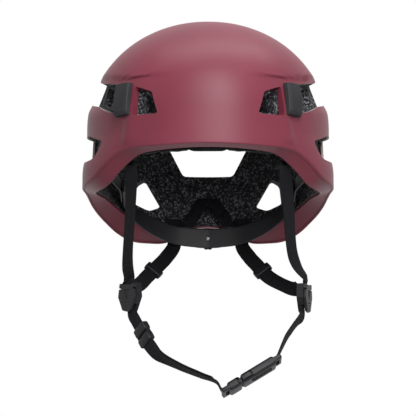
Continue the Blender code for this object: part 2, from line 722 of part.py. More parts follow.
# ---- Straight and turned shapes --------------------------------------------------------------
def smooth_route(points, per_span):
    """Points of a smooth curve through the given points, any number of values each."""
    route = []
    for i in range(len(points) - 1):
        one, two = points[i], points[i + 1]
        before = points[i - 1] if i > 0 else one
        after = points[i + 2] if i + 2 < len(points) else two
        for k in range(per_span):
            t = k / per_span
            route.append(tuple(
                0.5 * (
                    2 * b + (c - a) * t + (2 * a - 5 * b + 4 * c - d) * t * t
                    + (3 * b - a - 3 * c + d) * t**3
                )
                for a, b, c, d in zip(before, one, two, after)
            ))
    route.append(tuple(points[-1]))
    return route


def ribbon(name, spine, across, width):
    """An open strip along a spine. Across gives its cross direction, and width its width."""
    count = len(spine)
    bm = bmesh.new()
    bmesh.ops.create_grid(bm, x_segments=count - 1, y_segments=1, size=1)
    for v in bm.verts:
        i = round((v.co.x + 1) / 2 * (count - 1))
        along = spine[min(i + 1, count - 1)] - spine[max(i - 1, 0)]
        side = across[i] - along * (across[i].dot(along) / along.length_squared)
        v.co = spine[i] + side.normalized() * (width[i] / 2 * round(v.co.y))
    return finish_mesh(name, bm, outward=False)


def turned(name, profile, sides=20):
    """A profile of radii and heights turned about Z. It starts and ends on the axis."""
    bm = bmesh.new()
    verts = [bm.verts.new((radius, 0, height)) for radius, height in profile]
    edges = [bm.edges.new(pair) for pair in zip(verts, verts[1:])]
    bmesh.ops.spin(
        bm, geom=verts + edges, cent=(0, 0, 0), axis=(0, 0, 1), angle=2 * math.pi,
        steps=sides, use_merge=True,
    )
    bmesh.ops.remove_doubles(bm, verts=bm.verts, dist=0.00001)
    return finish_mesh(name, bm)


def stud(name, head_radius, head_thickness, shank_radius, shank_length):
    """A round head under Z = 0 with its shank up along Z."""
    return turned(name, [
        (0, -head_thickness), (head_radius * 0.8, -head_thickness),
        (head_radius, -head_thickness * 0.55), (head_radius, 0), (shank_radius, 0),
        (shank_radius, shank_length), (0, shank_length),
    ])


# ---- Headband --------------------------------------------------------------------------------
def band_point(index):
    """A point of the nape band's route: x, y, height and width."""
    across, back, height, width = BAND_ROUTE[index]
    return across * BAND_HALF_WIDTH, back * BAND_REACH, height, width


def whole_band():
    """The nape band's route from its right wing round the back to its left wing."""
    half = smooth_route([band_point(i) for i in range(len(BAND_ROUTE))], 3)
    right = [(-x, y, z, w) for x, y, z, w in half]
    return right + half[-2::-1]


def make_headband(build):
    route = whole_band()
    spine = [Vector(point[:3]) for point in route]
    up = [Vector((0, 0, 1))] * len(route)
    mesh = ribbon("nape_band", spine, up, [point[3] for point in route])
    band = build.add("nape_band", mesh, "plastic")
    solidify(band, BAND_THICKNESS)
    x_wing, y_wing, z_wing, wing_width = band_point(0)
    x_next, y_next, z_next, next_width = band_point(1)
    x_arm = x_wing + BAND_THICKNESS + BAND_GAP
    y_rear = ARM_REAR_SHARE * BAND_REACH
    z_rear = z_wing + (z_next - z_wing) / (y_next - y_wing) * (y_rear - y_wing)
    x_middle = (x_arm + TEMPLE_X) / 2 + ARM_MIDDLE_SWELL
    tip = [a + b for a, b in zip((TEMPLE_X, TEMPLE_Y, TEMPLE_Z), TEMPLE_TIP)]
    for word, side in (("left", 1), ("right", -1)):
        points = [
            (x_arm, y_rear, z_rear, ARM_WIDTH),
            (x_arm, y_wing, z_wing, ARM_WIDTH),
            (x_middle, (y_wing + TEMPLE_Y) / 2, z_wing + ARM_MIDDLE_RISE, ARM_WIDTH + ARM_MIDDLE_SWELL),
            (TEMPLE_X, TEMPLE_Y, TEMPLE_Z, TEMPLE_WIDTH),
            (*tip, TEMPLE_WIDTH * TEMPLE_TIP_TAPER),
        ]
        route = smooth_route(points, 3)
        spine = [Vector((side * x, y, z)) for x, y, z, w in route]
        mesh = ribbon(
            f"headband_arm_{word}", spine, [Vector((0, 0, 1))] * len(spine), [r[3] for r in route]
        )
        arm = build.add(f"headband_arm_{word}", mesh, "plastic")
        solidify(arm, BAND_THICKNESS, -side)
        turn = facing(
            (side * (TEMPLE_X - TEMPLE_PIN_INSET), TEMPLE_Y, TEMPLE_Z), (0, 1, 0), (0, 0, side)
        )
        pin = stud(
            f"temple_pin_{word}", TEMPLE_HEAD_RADIUS, TEMPLE_HEAD_THICKNESS,
            TEMPLE_SHANK_RADIUS, TEMPLE_SHANK_LENGTH,
        )
        build.add(f"temple_pin_{word}", pin, "plastic", turn)
        drill = rod(f"temple_drill_{word}", TEMPLE_HOLE_RADIUS, 0.030, sides=16)
        cutter = build.add_cutter(f"temple_drill_{word}", drill, turn)
        cut(arm, cutter)
        cut(bpy.data.objects["foam_liner"], cutter)
    return band


def make_dial(build, band):
    """Cover, axle with its pinion, and knob, on the Y axis behind the middle of the nape band."""
    x, y, z, width = band_point(-1)
    behind = Matrix.Rotation(math.radians(-90), 4, "X")  # a piece's Z points to the rear
    outline = []
    for k in range(24):
        a = 2 * math.pi * k / 24
        outline.append((
            COVER_HALF_WIDTH * math.copysign(abs(math.cos(a)) ** 0.6, math.cos(a)),
            COVER_HALF_HEIGHT * math.copysign(abs(math.sin(a)) ** 0.8, math.sin(a)),
        ))
    front = y + BAND_THICKNESS + COVER_GAP
    place = Matrix.Translation((x, front, z)) @ behind
    mesh = plate("dial_cover", outline, COVER_THICKNESS, COVER_THICKNESS / 2)
    cover = build.add("dial_cover", mesh, "plastic", place)
    depth = PINION_THICKNESS + 2 * PINION_CLEARANCE
    pocket = rod("pinion_pocket", PINION_RADIUS + PINION_CLEARANCE, 2 * depth, sides=28)
    cut(cover, build.add_cutter("pinion_pocket", pocket, place))
    drill = build.add_cutter("axle_drill", rod("axle_drill", AXLE_HOLE_RADIUS, 0.030), place)
    cut(cover, drill)
    cut(band, drill)

    tip = -(BAND_THICKNESS + COVER_GAP) - AXLE_PROUD
    low = PINION_CLEARANCE
    high = low + PINION_THICKNESS
    back = COVER_THICKNESS + DIAL_GAP / 2
    mesh = turned("dial_axle", [
        (0, tip), (AXLE_RADIUS * 0.7, tip), (AXLE_RADIUS, tip + AXLE_CHAMFER), (AXLE_RADIUS, low),
        (PINION_RADIUS, low), (PINION_RADIUS, high), (AXLE_RADIUS, high), (AXLE_RADIUS, back),
        (0, back),
    ], 24)
    build.add("dial_axle", mesh, "steel", place)

    bm = bmesh.new()
    bmesh.ops.create_cone(
        bm, cap_ends=True, segments=DIAL_GRIPS * 4, radius1=DIAL_RADIUS,
        radius2=DIAL_RADIUS * DIAL_TAPER, depth=DIAL_THICKNESS,
    )
    for v in bm.verts:
        turn = math.atan2(v.co.y, v.co.x) * DIAL_GRIPS
        if math.cos(turn) < -0.5:
            v.co.x *= DIAL_GRIP_FOOT
            v.co.y *= DIAL_GRIP_FOOT
    middle = COVER_THICKNESS + DIAL_GAP + DIAL_THICKNESS / 2
    bmesh.ops.translate(bm, verts=bm.verts, vec=(0, 0, middle))
    build.add("size_dial", finish_mesh("size_dial", bm), "plastic", place)


def make_yoke(build, foam):
    rear_turn = math.pi
    inner = under_surface(rear_turn, YOKE_TOP_Z, foam_depth(inner_share(rear_turn, YOKE_TOP_Z)))
    top = Vector((0, inner.y - YOKE_GAP - YOKE_THICKNESS, YOKE_TOP_Z))
    x, y, z, width = band_point(-1)
    foot = Vector((0, y + BAND_THICKNESS / 2, z + width / 2 + YOKE_FOOT_GAP))
    up = (top - foot).normalized()
    height = (top - foot).length

    half = [
        (YOKE_FOOT_IN, 0.0), (YOKE_FOOT_OUT, YOKE_FOOT_RISE),
        (YOKE_TOP_HALF_WIDTH, height - YOKE_SHOULDER),
        (YOKE_TOP_HALF_WIDTH - YOKE_TOP_TAPER, height),
    ]
    crotch = (YOKE_CROTCH_Z - foot.z) / up.z
    outline = half + [(-x, y) for x, y in reversed(half)] + [(0.0, crotch)]
    place = facing(foot, (1, 0, 0), up)
    mesh = plate("headband_yoke", outline, YOKE_THICKNESS)
    build.add("headband_yoke", mesh, "plastic", place)
    # the plug's head is between the legs, and its shank runs back into the foam
    normal = normal_at(rear_turn, PLUG_Z)
    depth = foam_depth(inner_share(rear_turn, PLUG_Z)) + PLUG_GAP
    plug_place = facing(
        under_surface(rear_turn, PLUG_Z, depth), (1, 0, 0), normal.cross(Vector((1, 0, 0)))
    )
    plug = stud(
        "yoke_plug", PLUG_RADIUS, PLUG_THICKNESS, PLUG_SHANK_RADIUS, PLUG_SHANK_LENGTH
    )
    build.add("yoke_plug", plug, "plastic", plug_place)
    drill = rod("plug_drill", PLUG_HOLE_RADIUS, 0.034, sides=16)
    cut(foam, build.add_cutter("plug_drill", drill, plug_place))


# ---- Lamp clips ------------------------------------------------------------------------------
def make_lamp_clips(build):
    first, last = CLIP_ANGLES
    low, high = CLIP_HEIGHTS
    for word, side in (("left", 1), ("right", -1)):
        def place(u, v, side=side):
            angle = side * math.radians(first + (last - first) * u)
            height = low + (high - low) * v
            ridge = CLIP_RIDGE * (1 - abs(2 * u - 1)) * math.sin(math.pi * v) ** 0.5
            return under_surface(angle, height, -CLIP_GAP), ridge

        name = f"front_lamp_clip_{word}"
        bm = bmesh.new()
        bmesh.ops.create_grid(bm, x_segments=4, y_segments=5, size=1)
        outside = bmesh.ops.duplicate(bm, geom=bm.verts[:] + bm.edges[:] + bm.faces[:])["geom"]
        outer_verts = [g for g in outside if isinstance(g, bmesh.types.BMVert)]
        outer = set(outer_verts)
        for v in bm.verts:
            u, w = (v.co.x + 1) / 2, (v.co.y + 1) / 2
            point, ridge = place(u, w)
            if v in outer:
                angle = side * math.radians(first + (last - first) * u)
                inset = Vector((0.5 - u, 0.5 - w)) * CLIP_DRAFT
                height = low + (high - low) * w + inset.y
                point = under_surface(
                    angle + side * inset.x / HALF_WIDTH, height, -(CLIP_GAP + CLIP_THICKNESS + ridge)
                )
            v.co = point
        inner_rim = [e for e in bm.edges if e.is_boundary]
        bmesh.ops.bridge_loops(bm, edges=inner_rim)
        build.add(name, finish_mesh(name, bm), "plastic")

    normal = normal_at(math.pi, REAR_CLIP_Z)
    middle = surface_at(math.pi, REAR_CLIP_Z)
    h, foot = REAR_CLIP_HALF_HEIGHT, REAR_CLIP_FOOT
    gap, slot, wall = REAR_CLIP_GAP, REAR_CLIP_SLOT, REAR_CLIP_THICKNESS
    top, fillet = slot + wall, REAR_CLIP_FILLET
    outline = [
        (-h, gap), (-h, slot + wall * 0.6), (-h + REAR_CLIP_ROUND, top), (h - REAR_CLIP_NOSE, top),
        (h, slot), (h, gap + REAR_CLIP_LIFT), (h - wall, gap + REAR_CLIP_LIFT),
        (h - wall, slot - fillet), (h - wall - fillet, slot), (-h + foot, slot), (-h + foot, gap),
    ]
    place = facing(middle, normal.cross(Vector((1, 0, 0))), normal)
    mesh = plate("rear_lamp_clip", outline, REAR_CLIP_WIDTH)
    build.add("rear_lamp_clip", mesh, "plastic", place)


# ---- Straps ----------------------------------------------------------------------------------
def fitted(point):
    """A point of a strap's route on a helmet of this width."""
    x, y, z = point
    return Vector((x * HALF_WIDTH / ROUTE_HALF_WIDTH, y, z))


def fitted_stops(stops):
    return [(fitted(point), across) for point, across in stops]


def divider_place(word):
    """Placement of a divider: X across it, Y up, Z out of its face."""
    turn = math.radians(DIVIDER_TURNS[word])
    face = Vector((math.sin(turn), -math.cos(turn), 0))
    across = Vector((0, 0, 1)).cross(face)
    return facing(fitted(DIVIDER_CENTRES[word]), across, (0, 0, 1))


def layer_height(layer):
    """Middle of a strap layer inside a divider, over the back of its base."""
    return DIVIDER_BASE + STRAP_GAP + WEBBING_THICKNESS / 2 + layer * (
        WEBBING_THICKNESS + STRAP_GAP
    )


def divider_depth():
    """Thickness of a divider from its back to the face of its lever."""
    return layer_height(1) + WEBBING_THICKNESS / 2 + LEVER_GAP + LEVER_THICKNESS


def in_divider(word, x, y, layer):
    """Point of a strap layer inside a divider."""
    z = layer_height(layer) - divider_depth() / 2
    return divider_place(word) @ Vector((x, y, z))


def strap_route(stops):
    """Spine and cross directions of a flat strap along stops, each a point and its cross direction."""
    values = [tuple(point) + tuple(across) for point, across in stops]
    route = smooth_route(values, ROUTE_STEPS)
    return [Vector(v[:3]) for v in route], [Vector(v[3:]) for v in route]


def make_strap(build, name, spine, across):
    mesh = ribbon(name, spine, across, [WEBBING_WIDTH] * len(spine))
    strap = build.add(name, mesh, "webbing")
    solidify(strap, WEBBING_THICKNESS, 0.0)
    return strap


def second_layer(spine, across, lift):
    """The spine of a strap that lies on another, a lift off its face."""
    layer = []
    for i, point in enumerate(spine):
        along = spine[min(i + 1, len(spine) - 1)] - spine[max(i - 1, 0)]
        layer.append(point + along.cross(across[i]).normalized() * lift)
    return layer


def foam_wall(word, degrees, height, depth):
    """Point inside the foam's inner face on one side of the helmet."""
    angle = math.radians(degrees) * (1 if word == "left" else -1)
    inner = foam_depth(inner_share(angle, height))
    return under_surface(angle, height, inner + depth)


def make_anchors(build):
    for word, side in (("left", 1), ("right", -1)):
        for end, (degrees, height) in (("front", FRONT_ANCHOR), ("rear", REAR_ANCHOR)):
            angle = side * math.radians(degrees)
            normal = normal_at(angle, height)
            up = Vector((0, 0, 1)) - normal * normal.z
            middle = foam_wall(word, degrees, height, ANCHOR_GAP + ANCHOR_THICKNESS / 2)
            name = f"{end}_anchor_{word}"
            size = (ANCHOR_WIDTH, ANCHOR_HEIGHT, ANCHOR_THICKNESS)
            mesh = box(name, size, bevel=ANCHOR_BEVEL)
            build.add(name, mesh, "plastic", facing(middle, up.cross(normal), up))


def anchor_stop(word, end, drop):
    """Where a strap leaves its anchor, and its cross direction there."""
    degrees, height = FRONT_ANCHOR if end == "front" else REAR_ANCHOR
    angle = math.radians(degrees) * (1 if word == "left" else -1)
    inset = ANCHOR_GAP + ANCHOR_THICKNESS + ANCHOR_CLEARANCE + WEBBING_THICKNESS / 2
    normal = normal_at(angle, height)
    up = (Vector((0, 0, 1)) - normal * normal.z).normalized()
    point = foam_wall(word, degrees, height, inset) - up * drop
    return point, up.cross(normal)


# Side straps between their anchor and their divider: point and cross direction.
FRONT_ROUTES = {
    "left": [((0.0703, -0.050, -0.0721), (0.70, 0.66, 0.27)),
             ((0.0755, -0.018, -0.1130), (0.60, 0.77, 0.20))],
    "right": [((-0.0678, -0.050, -0.0721), (0.64, -0.70, -0.30)),
              ((-0.0715, -0.018, -0.1130), (0.62, -0.76, -0.20))],
}
REAR_ROUTES = {
    "left": [((0.0330, 0.0955, -0.0952), (0.75, 0.35, 0.55)),
             ((0.0395, 0.0775, -0.1072), (0.40, 0.50, 0.75)),
             ((0.0450, 0.0670, -0.1145), (0.33, 0.50, 0.80)),
             ((0.0571, 0.0470, -0.1290), (0.33, 0.50, 0.80)),
             ((0.0735, 0.0255, -0.1395), (0.25, 0.55, 0.80))],
    "right": [((-0.0330, 0.0955, -0.0952), (-0.75, 0.35, 0.55)),
              ((-0.0395, 0.0775, -0.1072), (-0.40, 0.50, 0.75)),
              ((-0.0455, 0.0665, -0.1150), (-0.33, 0.50, 0.80)),
              ((-0.0562, 0.0472, -0.1276), (-0.33, 0.50, 0.80)),
              ((-0.0627, 0.0280, -0.1365), (-0.40, 0.45, 0.80))],
}
# Where a rear strap is sewn behind its divider: across and up from its middle, and off its back.
REAR_SEWN = [(0.0095, 0.0090, 0.0012), (0.0050, 0.0040, 0.0), (0.0010, -0.0005, 0.0)]
SLIDER_SPAN = (2, 3)        # stops of the rear route that a slider runs between
# The chin strap between the adjuster's straight stretch and the male half, and on the wearer's left.
CHIN_RIGHT_ROUTE = [
    ((-0.0430, -0.0200, -0.2042), (0.48, -0.86, 0.15)),
    ((-0.0268, -0.0300, -0.2160), (0.32, -0.93, 0.20)),
    ((-0.0092, -0.0385, -0.2238), (0.18, -0.96, 0.20)),
]
CHIN_LEFT_ROUTE = [
    ((0.0782, -0.0090, -0.1725), (0.24, 0.95, -0.05)),
    ((0.0716, -0.0170, -0.1812), (0.18, 0.96, -0.12)),
    ((0.0664, -0.0255, -0.1905), (0.12, 0.96, -0.18)),
]


def behind_divider(word):
    """Stops of a rear strap where it is sewn behind its divider's base, coming from above and behind."""
    place = divider_place(word)
    side = 1 if word == "left" else -1
    z = -divider_depth() / 2 - STRAP_GAP - WEBBING_THICKNESS / 2
    slant = place.to_3x3() @ Vector((-side * 0.75, 0.66, 0))
    return [(place @ Vector((side * x, y, z - drop)), slant) for x, y, drop in REAR_SEWN]


def make_side_straps(build):
    for word in ("left", "right"):
        across = divider_place(word).to_3x3() @ Vector((1, 0, 0))
        shift = DIVIDER_SHIFT * (1 if word == "left" else -1)
        in_front = [(in_divider(word, shift, y, 1), across) for y in DIVIDER_STOPS]
        for end, routes, ends in (
            ("front", FRONT_ROUTES, in_front), ("rear", REAR_ROUTES, behind_divider(word)),
        ):
            head, cross = anchor_stop(word, end, -ANCHOR_HEIGHT / 4)
            below, lower = (
                anchor_stop(word, end, ANCHOR_HEIGHT / 2 + drop)[0] for drop in ANCHOR_DROPS
            )
            flip = 1 if cross.dot(Vector(routes[word][0][1])) > 0 else -1
            stops = [(point, cross * flip) for point in (head, below, lower)]
            stops += fitted_stops(routes[word]) + ends
            make_strap(build, f"{end}_webbing_{word}", *strap_route(stops))


def frame_of_strap(one, two, across):
    """Placement midway between two points of a strap: X across it, Y along it, Z out of it."""
    along = Vector(two) - Vector(one)
    middle = (Vector(one) + Vector(two)) / 2
    return facing(middle, along, across) @ Matrix.Rotation(math.radians(90), 4, "Z")


def make_sliders(build):
    inner = (WEBBING_WIDTH + 2 * SLIDER_SLACK, WEBBING_THICKNESS + 2 * SLIDER_SLACK)
    outer = (inner[0] + 2 * SLIDER_WALL, inner[1] + 2 * SLIDER_WALL)
    for word in ("left", "right"):
        stops = fitted_stops(REAR_ROUTES[word][i] for i in SLIDER_SPAN)
        place = frame_of_strap(stops[0][0], stops[1][0], stops[0][1])
        name = f"rear_slider_{word}"
        mesh = box(name, (outer[0], SLIDER_LENGTH, outer[1]), bevel=SLIDER_BEVEL)
        slider = build.add(name, mesh, "plastic", place)
        slot = box(f"slider_slot_{word}", (inner[0], 3 * SLIDER_LENGTH, inner[1]))
        cut(slider, build.add_cutter(f"slider_slot_{word}", slot, place))


def make_dividers(build):
    half = DIVIDER_OUTLINE
    outline = half + [(-x, y) for x, y in reversed(half[1:])]
    width = max(x for x, y in half)
    channel = width - DIVIDER_CHEEK
    depth = divider_depth()
    for word in ("left", "right"):
        place = divider_place(word)
        base = build.add(
            f"divider_{word}", plate(f"divider_{word}", outline, depth), "plastic", place
        )
        hollow = box(
            f"divider_channel_{word}", (2 * channel, 5 * width, depth), (0, 0, DIVIDER_BASE)
        )
        cut(base, build.add_cutter(f"divider_channel_{word}", hollow, place))
        inset = channel - LEVER_GAP
        flap = [(min(x, inset), max(LEVER_FOOT, min(y, LEVER_TOP))) for x, y in half]
        flap = flap + [(-x, y) for x, y in reversed(flap[1:])]
        middle = depth / 2 - LEVER_THICKNESS / 2
        mesh = plate(f"divider_lever_{word}", flap, LEVER_THICKNESS, middle)
        lever = build.add(f"divider_lever_{word}", mesh, "plastic", place)
        axis = place @ Matrix.Translation((0, LEVER_HINGE_Y, middle))
        axis = axis @ Matrix.Rotation(math.radians(90), 4, "Y")
        drill = rod(f"lever_drill_{word}", HINGE_HOLE_RADIUS, 3 * width, sides=12)
        cutter = build.add_cutter(f"lever_drill_{word}", drill, axis)
        cut(base, cutter)
        cut(lever, cutter)
        pin = rod(
            f"lever_pin_{word}", HINGE_PIN_RADIUS, 2 * (width - HINGE_PIN_INSET), sides=12
        )
        build.add(f"lever_pin_{word}", pin, "steel", axis)


def buckle_place():
    """Placement at the buckle's mouth: X into the female half, Y across, Z out of its face."""
    along = Vector(BUCKLE_AXIS).normalized()
    face = Vector(BUCKLE_FACE)
    face = (face - along * face.dot(along)).normalized()
    return facing(fitted(BUCKLE_MOUTH), along, face.cross(along))


def bar_stops(place, side, cross):
    """Stops of a strap that comes over a web bar and out through its slot. Side is 1 at the female."""
    slot = BUCKLE_BODY_LENGTH + BAR_SLOT / 2 if side > 0 else -MALE_LENGTH - BAR_SLOT / 2
    over = (BAR_THICKNESS + WEBBING_THICKNESS) / 2 + STRAP_GAP
    reach = BAR_SLOT / 2
    steps = [(reach + away, -over * lift) for away, lift in BAR_APPROACH]
    steps += [(reach + BAR_BEVEL, -over), (0.0, -over * 0.45), (0.0, over * 0.45)]
    return [(place @ Vector((slot + side * x, 0, z)), cross) for x, z in steps]


def make_chin(build):
    place = buckle_place()
    cross = place.to_3x3() @ Vector((0, 1, 0))

    # the wearer's right: straight through the adjuster, then under the chin to the male half
    slope = Vector(CHIN_RIGHT_SLOPE).normalized()
    across = divider_place("right").to_3x3() @ Vector((1, 0, 0))
    head = [(in_divider("right", DIVIDER_SHIFT, y, 0), across) for y in CHIN_RIGHT_HEAD]
    start = head[-1][0]
    flat = across - slope * across.dot(slope)
    straight = [(start + slope * d, flat) for d in CHIN_RIGHT_STRAIGHT]
    bar = bar_stops(place, -1, cross)
    spine, crosses = strap_route(head + straight + fitted_stops(CHIN_RIGHT_ROUTE) + bar)
    make_strap(build, "chin_webbing_right", spine, crosses)

    # the second layer, from inside the adjuster on to the male half's bar
    lift = WEBBING_THICKNESS + STRAP_GAP
    first = ROUTE_STEPS * (len(head) + 2) - 1
    last = len(spine) - ROUTE_STEPS * (len(bar) - 1) - 1
    mesh_spine = second_layer(spine, crosses, -lift)[first:last]
    make_strap(build, "chin_webbing_return", mesh_spine, crosses[first:last])

    face = -slope.cross(flat).normalized()
    middle = start + slope * ADJUSTER_PLACE + face * (lift / 2)
    inner = (WEBBING_WIDTH + 2 * ADJUSTER_SLACK, lift + WEBBING_THICKNESS + 2 * ADJUSTER_SLACK)
    outer = (inner[0] + 2 * ADJUSTER_WALL, inner[1] + 2 * ADJUSTER_WALL)
    fit = facing(middle, slope, flat) @ Matrix.Rotation(math.radians(90), 4, "Z")
    size = (outer[0], ADJUSTER_LENGTH, outer[1])
    mesh = box("chin_adjuster", size, bevel=ADJUSTER_BEVEL)
    adjuster = build.add("chin_adjuster", mesh, "plastic", fit)
    slot = box("adjuster_slot", (inner[0], 3 * ADJUSTER_LENGTH, inner[1]))
    cut(adjuster, build.add_cutter("adjuster_slot", slot, fit))

    # the wearer's left: from the divider to the female half
    across = divider_place("left").to_3x3() @ Vector((1, 0, 0))
    stops = [(in_divider("left", -DIVIDER_SHIFT, y, 0), across) for y in CHIN_LEFT_HEAD]
    stops += fitted_stops(CHIN_LEFT_ROUTE) + bar_stops(place, 1, -cross)
    make_strap(build, "chin_webbing_left", *strap_route(stops))


def make_buckle(build):
    place = buckle_place()
    pocket = (BUCKLE_WIDTH - 2 * BUCKLE_WALL, BUCKLE_THICKNESS - 2 * BUCKLE_WALL)
    bar_end = BAR_SLOT + BAR_WIDTH
    body = (BUCKLE_WIDTH, BUCKLE_THICKNESS)
    tail_size = (bar_end + BAR_ROOT, BUCKLE_WIDTH, BAR_THICKNESS)
    slot_size = (BAR_SLOT, WEBBING_WIDTH + BAR_SLOT_ROOM, 2 * BUCKLE_THICKNESS)

    length = BUCKLE_BODY_LENGTH - BAR_BEVEL
    mesh = box("buckle_female", (length, *body), (length / 2, 0, 0), BUCKLE_BEVEL)
    female = build.add("buckle_female", mesh, "plastic", place)
    middle = BUCKLE_BODY_LENGTH + (bar_end - BAR_ROOT) / 2
    tail = box("female_bar", tail_size, (middle, 0, 0), BAR_BEVEL)
    cut(female, build.add_cutter("female_bar", tail, place), "UNION")
    hollow = box("buckle_pocket", (2 * BUCKLE_POCKET_DEPTH, *pocket))
    cut(female, build.add_cutter("buckle_pocket", hollow, place))
    notch = 2 * (BUTTON_LENGTH + NOTCH_CLEARANCE)
    notches = box("buckle_notches", (notch, 2 * BUCKLE_WIDTH, pocket[1]))
    cut(female, build.add_cutter("buckle_notches", notches, place))
    slot = box("female_bar_slot", slot_size, (BUCKLE_BODY_LENGTH + BAR_SLOT / 2, 0, 0))
    cut(female, build.add_cutter("female_bar_slot", slot, place))

    inner_half = pocket[0] / 2 - BUCKLE_CLEARANCE
    thick = pocket[1] - 2 * BUCKLE_CLEARANCE
    length = MALE_LENGTH - BAR_BEVEL - BUCKLE_CLEARANCE
    middle = -BUCKLE_CLEARANCE - length / 2
    base = box("buckle_male", (length, *body), (middle, 0, 0), BUCKLE_BEVEL)
    male = build.add("buckle_male", base, "plastic", place)
    middle = -MALE_LENGTH - (bar_end - BAR_ROOT) / 2
    tail = box("male_bar", tail_size, (middle, 0, 0), BAR_BEVEL)
    cut(male, build.add_cutter("male_bar", tail, place), "UNION")
    middle = (TONGUE_LENGTH - BAR_ROOT) / 2
    tongue = box("buckle_tongue", (TONGUE_LENGTH + BAR_ROOT, TONGUE_WIDTH, thick), (middle, 0, 0))
    cut(male, build.add_cutter("buckle_tongue", tongue, place), "UNION")
    slot = box("male_bar_slot", slot_size, (-MALE_LENGTH - BAR_SLOT / 2, 0, 0))
    cut(male, build.add_cutter("male_bar_slot", slot, place))

    # the squeeze arms stand in seats in the male half, and their finger pads in the female's notches
    seat_size = (ARM_SEAT_LENGTH, 2 * (ARM_THICKNESS + ARM_SEAT_ROOM), pocket[1])
    pad_out = BUCKLE_CLEARANCE + BUCKLE_WALL + BUTTON_PROUD
    pad_size = (BUTTON_LENGTH, ARM_THICKNESS + pad_out, thick)
    pad_middle = (BUTTON_LENGTH + BUCKLE_CLEARANCE) / 2
    for word, side in (("front", 1), ("rear", -1)):
        y = side * (inner_half - ARM_THICKNESS / 2)
        seat = box(f"arm_seat_{word}", seat_size, (0, y, 0))
        cut(male, build.add_cutter(f"arm_seat_{word}", seat, place))
        middle = (ARM_LENGTH - ARM_ROOT) / 2
        arm = box(
            f"buckle_arm_{word}", (ARM_LENGTH + ARM_ROOT, ARM_THICKNESS, thick), (middle, y, 0)
        )
        piece = build.add(f"buckle_arm_{word}", arm, "plastic", place)
        pad = box(f"arm_button_{word}", pad_size, (pad_middle, y + side * pad_out / 2, 0))
        cut(piece, build.add_cutter(f"arm_button_{word}", pad, place), "UNION")


def main():
    build = Build()
    shell, foam = make_shell_and_foam(build)
    make_pads(build)
    band = make_headband(build)
    make_dial(build, band)
    make_yoke(build, foam)
    make_lamp_clips(build)
    make_anchors(build)
    make_side_straps(build)
    make_sliders(build)
    make_dividers(build)
    make_chin(build)
    make_buckle(build)


if __name__ == "__main__":
    main()
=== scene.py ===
"""Climbing helmet, dressed: satin shell, bead foam, pads, headband, lamp clips, webbing and buckle.

The helmet faces -Y and +X is the wearer's left. Shapes are worked out against the shell's widest
level, and then lowered or raised to where the frame has it.
"""

import math

import bmesh
import bpy
from bpy.props import FloatProperty, FloatVectorProperty, PointerProperty
from mathutils import Matrix, Vector


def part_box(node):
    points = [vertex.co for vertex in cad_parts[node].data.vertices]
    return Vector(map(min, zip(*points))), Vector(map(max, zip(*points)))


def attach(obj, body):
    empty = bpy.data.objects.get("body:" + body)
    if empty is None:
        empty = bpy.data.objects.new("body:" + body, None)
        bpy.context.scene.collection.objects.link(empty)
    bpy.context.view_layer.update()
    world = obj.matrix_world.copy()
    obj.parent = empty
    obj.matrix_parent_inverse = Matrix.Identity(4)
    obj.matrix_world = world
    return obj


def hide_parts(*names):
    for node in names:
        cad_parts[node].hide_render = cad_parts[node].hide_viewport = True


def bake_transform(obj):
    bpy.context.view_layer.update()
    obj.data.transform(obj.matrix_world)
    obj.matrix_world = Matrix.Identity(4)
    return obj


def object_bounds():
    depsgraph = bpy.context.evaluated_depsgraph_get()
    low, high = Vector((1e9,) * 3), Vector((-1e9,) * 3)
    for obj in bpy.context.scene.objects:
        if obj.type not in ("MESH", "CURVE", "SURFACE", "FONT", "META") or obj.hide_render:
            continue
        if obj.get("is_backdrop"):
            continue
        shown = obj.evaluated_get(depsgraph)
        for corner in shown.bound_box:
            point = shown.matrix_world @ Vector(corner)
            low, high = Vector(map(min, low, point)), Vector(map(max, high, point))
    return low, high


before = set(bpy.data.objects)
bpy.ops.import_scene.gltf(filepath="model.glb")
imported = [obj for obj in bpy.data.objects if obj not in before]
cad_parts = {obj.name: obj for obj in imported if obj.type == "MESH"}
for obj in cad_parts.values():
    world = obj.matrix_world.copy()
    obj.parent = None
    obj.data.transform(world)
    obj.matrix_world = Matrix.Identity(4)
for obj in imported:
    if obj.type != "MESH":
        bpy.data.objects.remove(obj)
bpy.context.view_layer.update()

SIDES = {"left": 1, "right": -1}

bl_info = {
    "name": "Climbing Helmet",
    "version": (1, 0, 0),
    "blender": (4, 5, 0),
    "location": "View3D > Sidebar > Helmet",
    "description": "Dresses a climbing helmet with its finished pieces and materials",
    "category": "Object",
}

# ---- Sizes that follow the solids, in metres ----
CROWN_HEIGHT = 0.0995
HALF_WIDTH = 0.1095
FRONT_LENGTH = 0.134
REAR_LENGTH = 0.139
PLAN_POWER = 2.15
# fade() reads a pair as where a soft change starts and how far it runs.
TEMPLE_FLARE = 0.0050
FLARE_MIDDLE, FLARE_REACH = 66, 36
FLARE_DROP = (0.014, 0.030)
NAPE_TUCK = 0.020
TUCK_TURN = (92, 74)
TUCK_DROP = (0.004, 0.100)
SHELL_THICKNESS = 0.0022
BEVEL_FRONT = 0.0125
BEVEL_REAR = 0.0145
BEVEL_TURN = (80, 40)
CREASE_LINE = [
    (0, -0.0315), (20, -0.0322), (35, -0.0330), (45, -0.0413), (55, -0.0520), (68, -0.0562),
    (90, -0.0575), (104, -0.0650), (120, -0.0768), (130, -0.0857), (140, -0.0915), (150, -0.0922),
    (160, -0.0905), (171, -0.0800), (180, -0.0754),
]
EDGE_LINE = [
    (0, -0.0330), (22, -0.0345), (30, -0.0365), (40, -0.0460), (50, -0.0570), (57, -0.0600),
    (68, -0.0602), (90, -0.0590), (104, -0.0590), (118, -0.0645), (130, -0.0715), (142, -0.0785),
    (155, -0.0812), (168, -0.0780), (180, -0.0752),
]
FIT_GAP = 0.0005
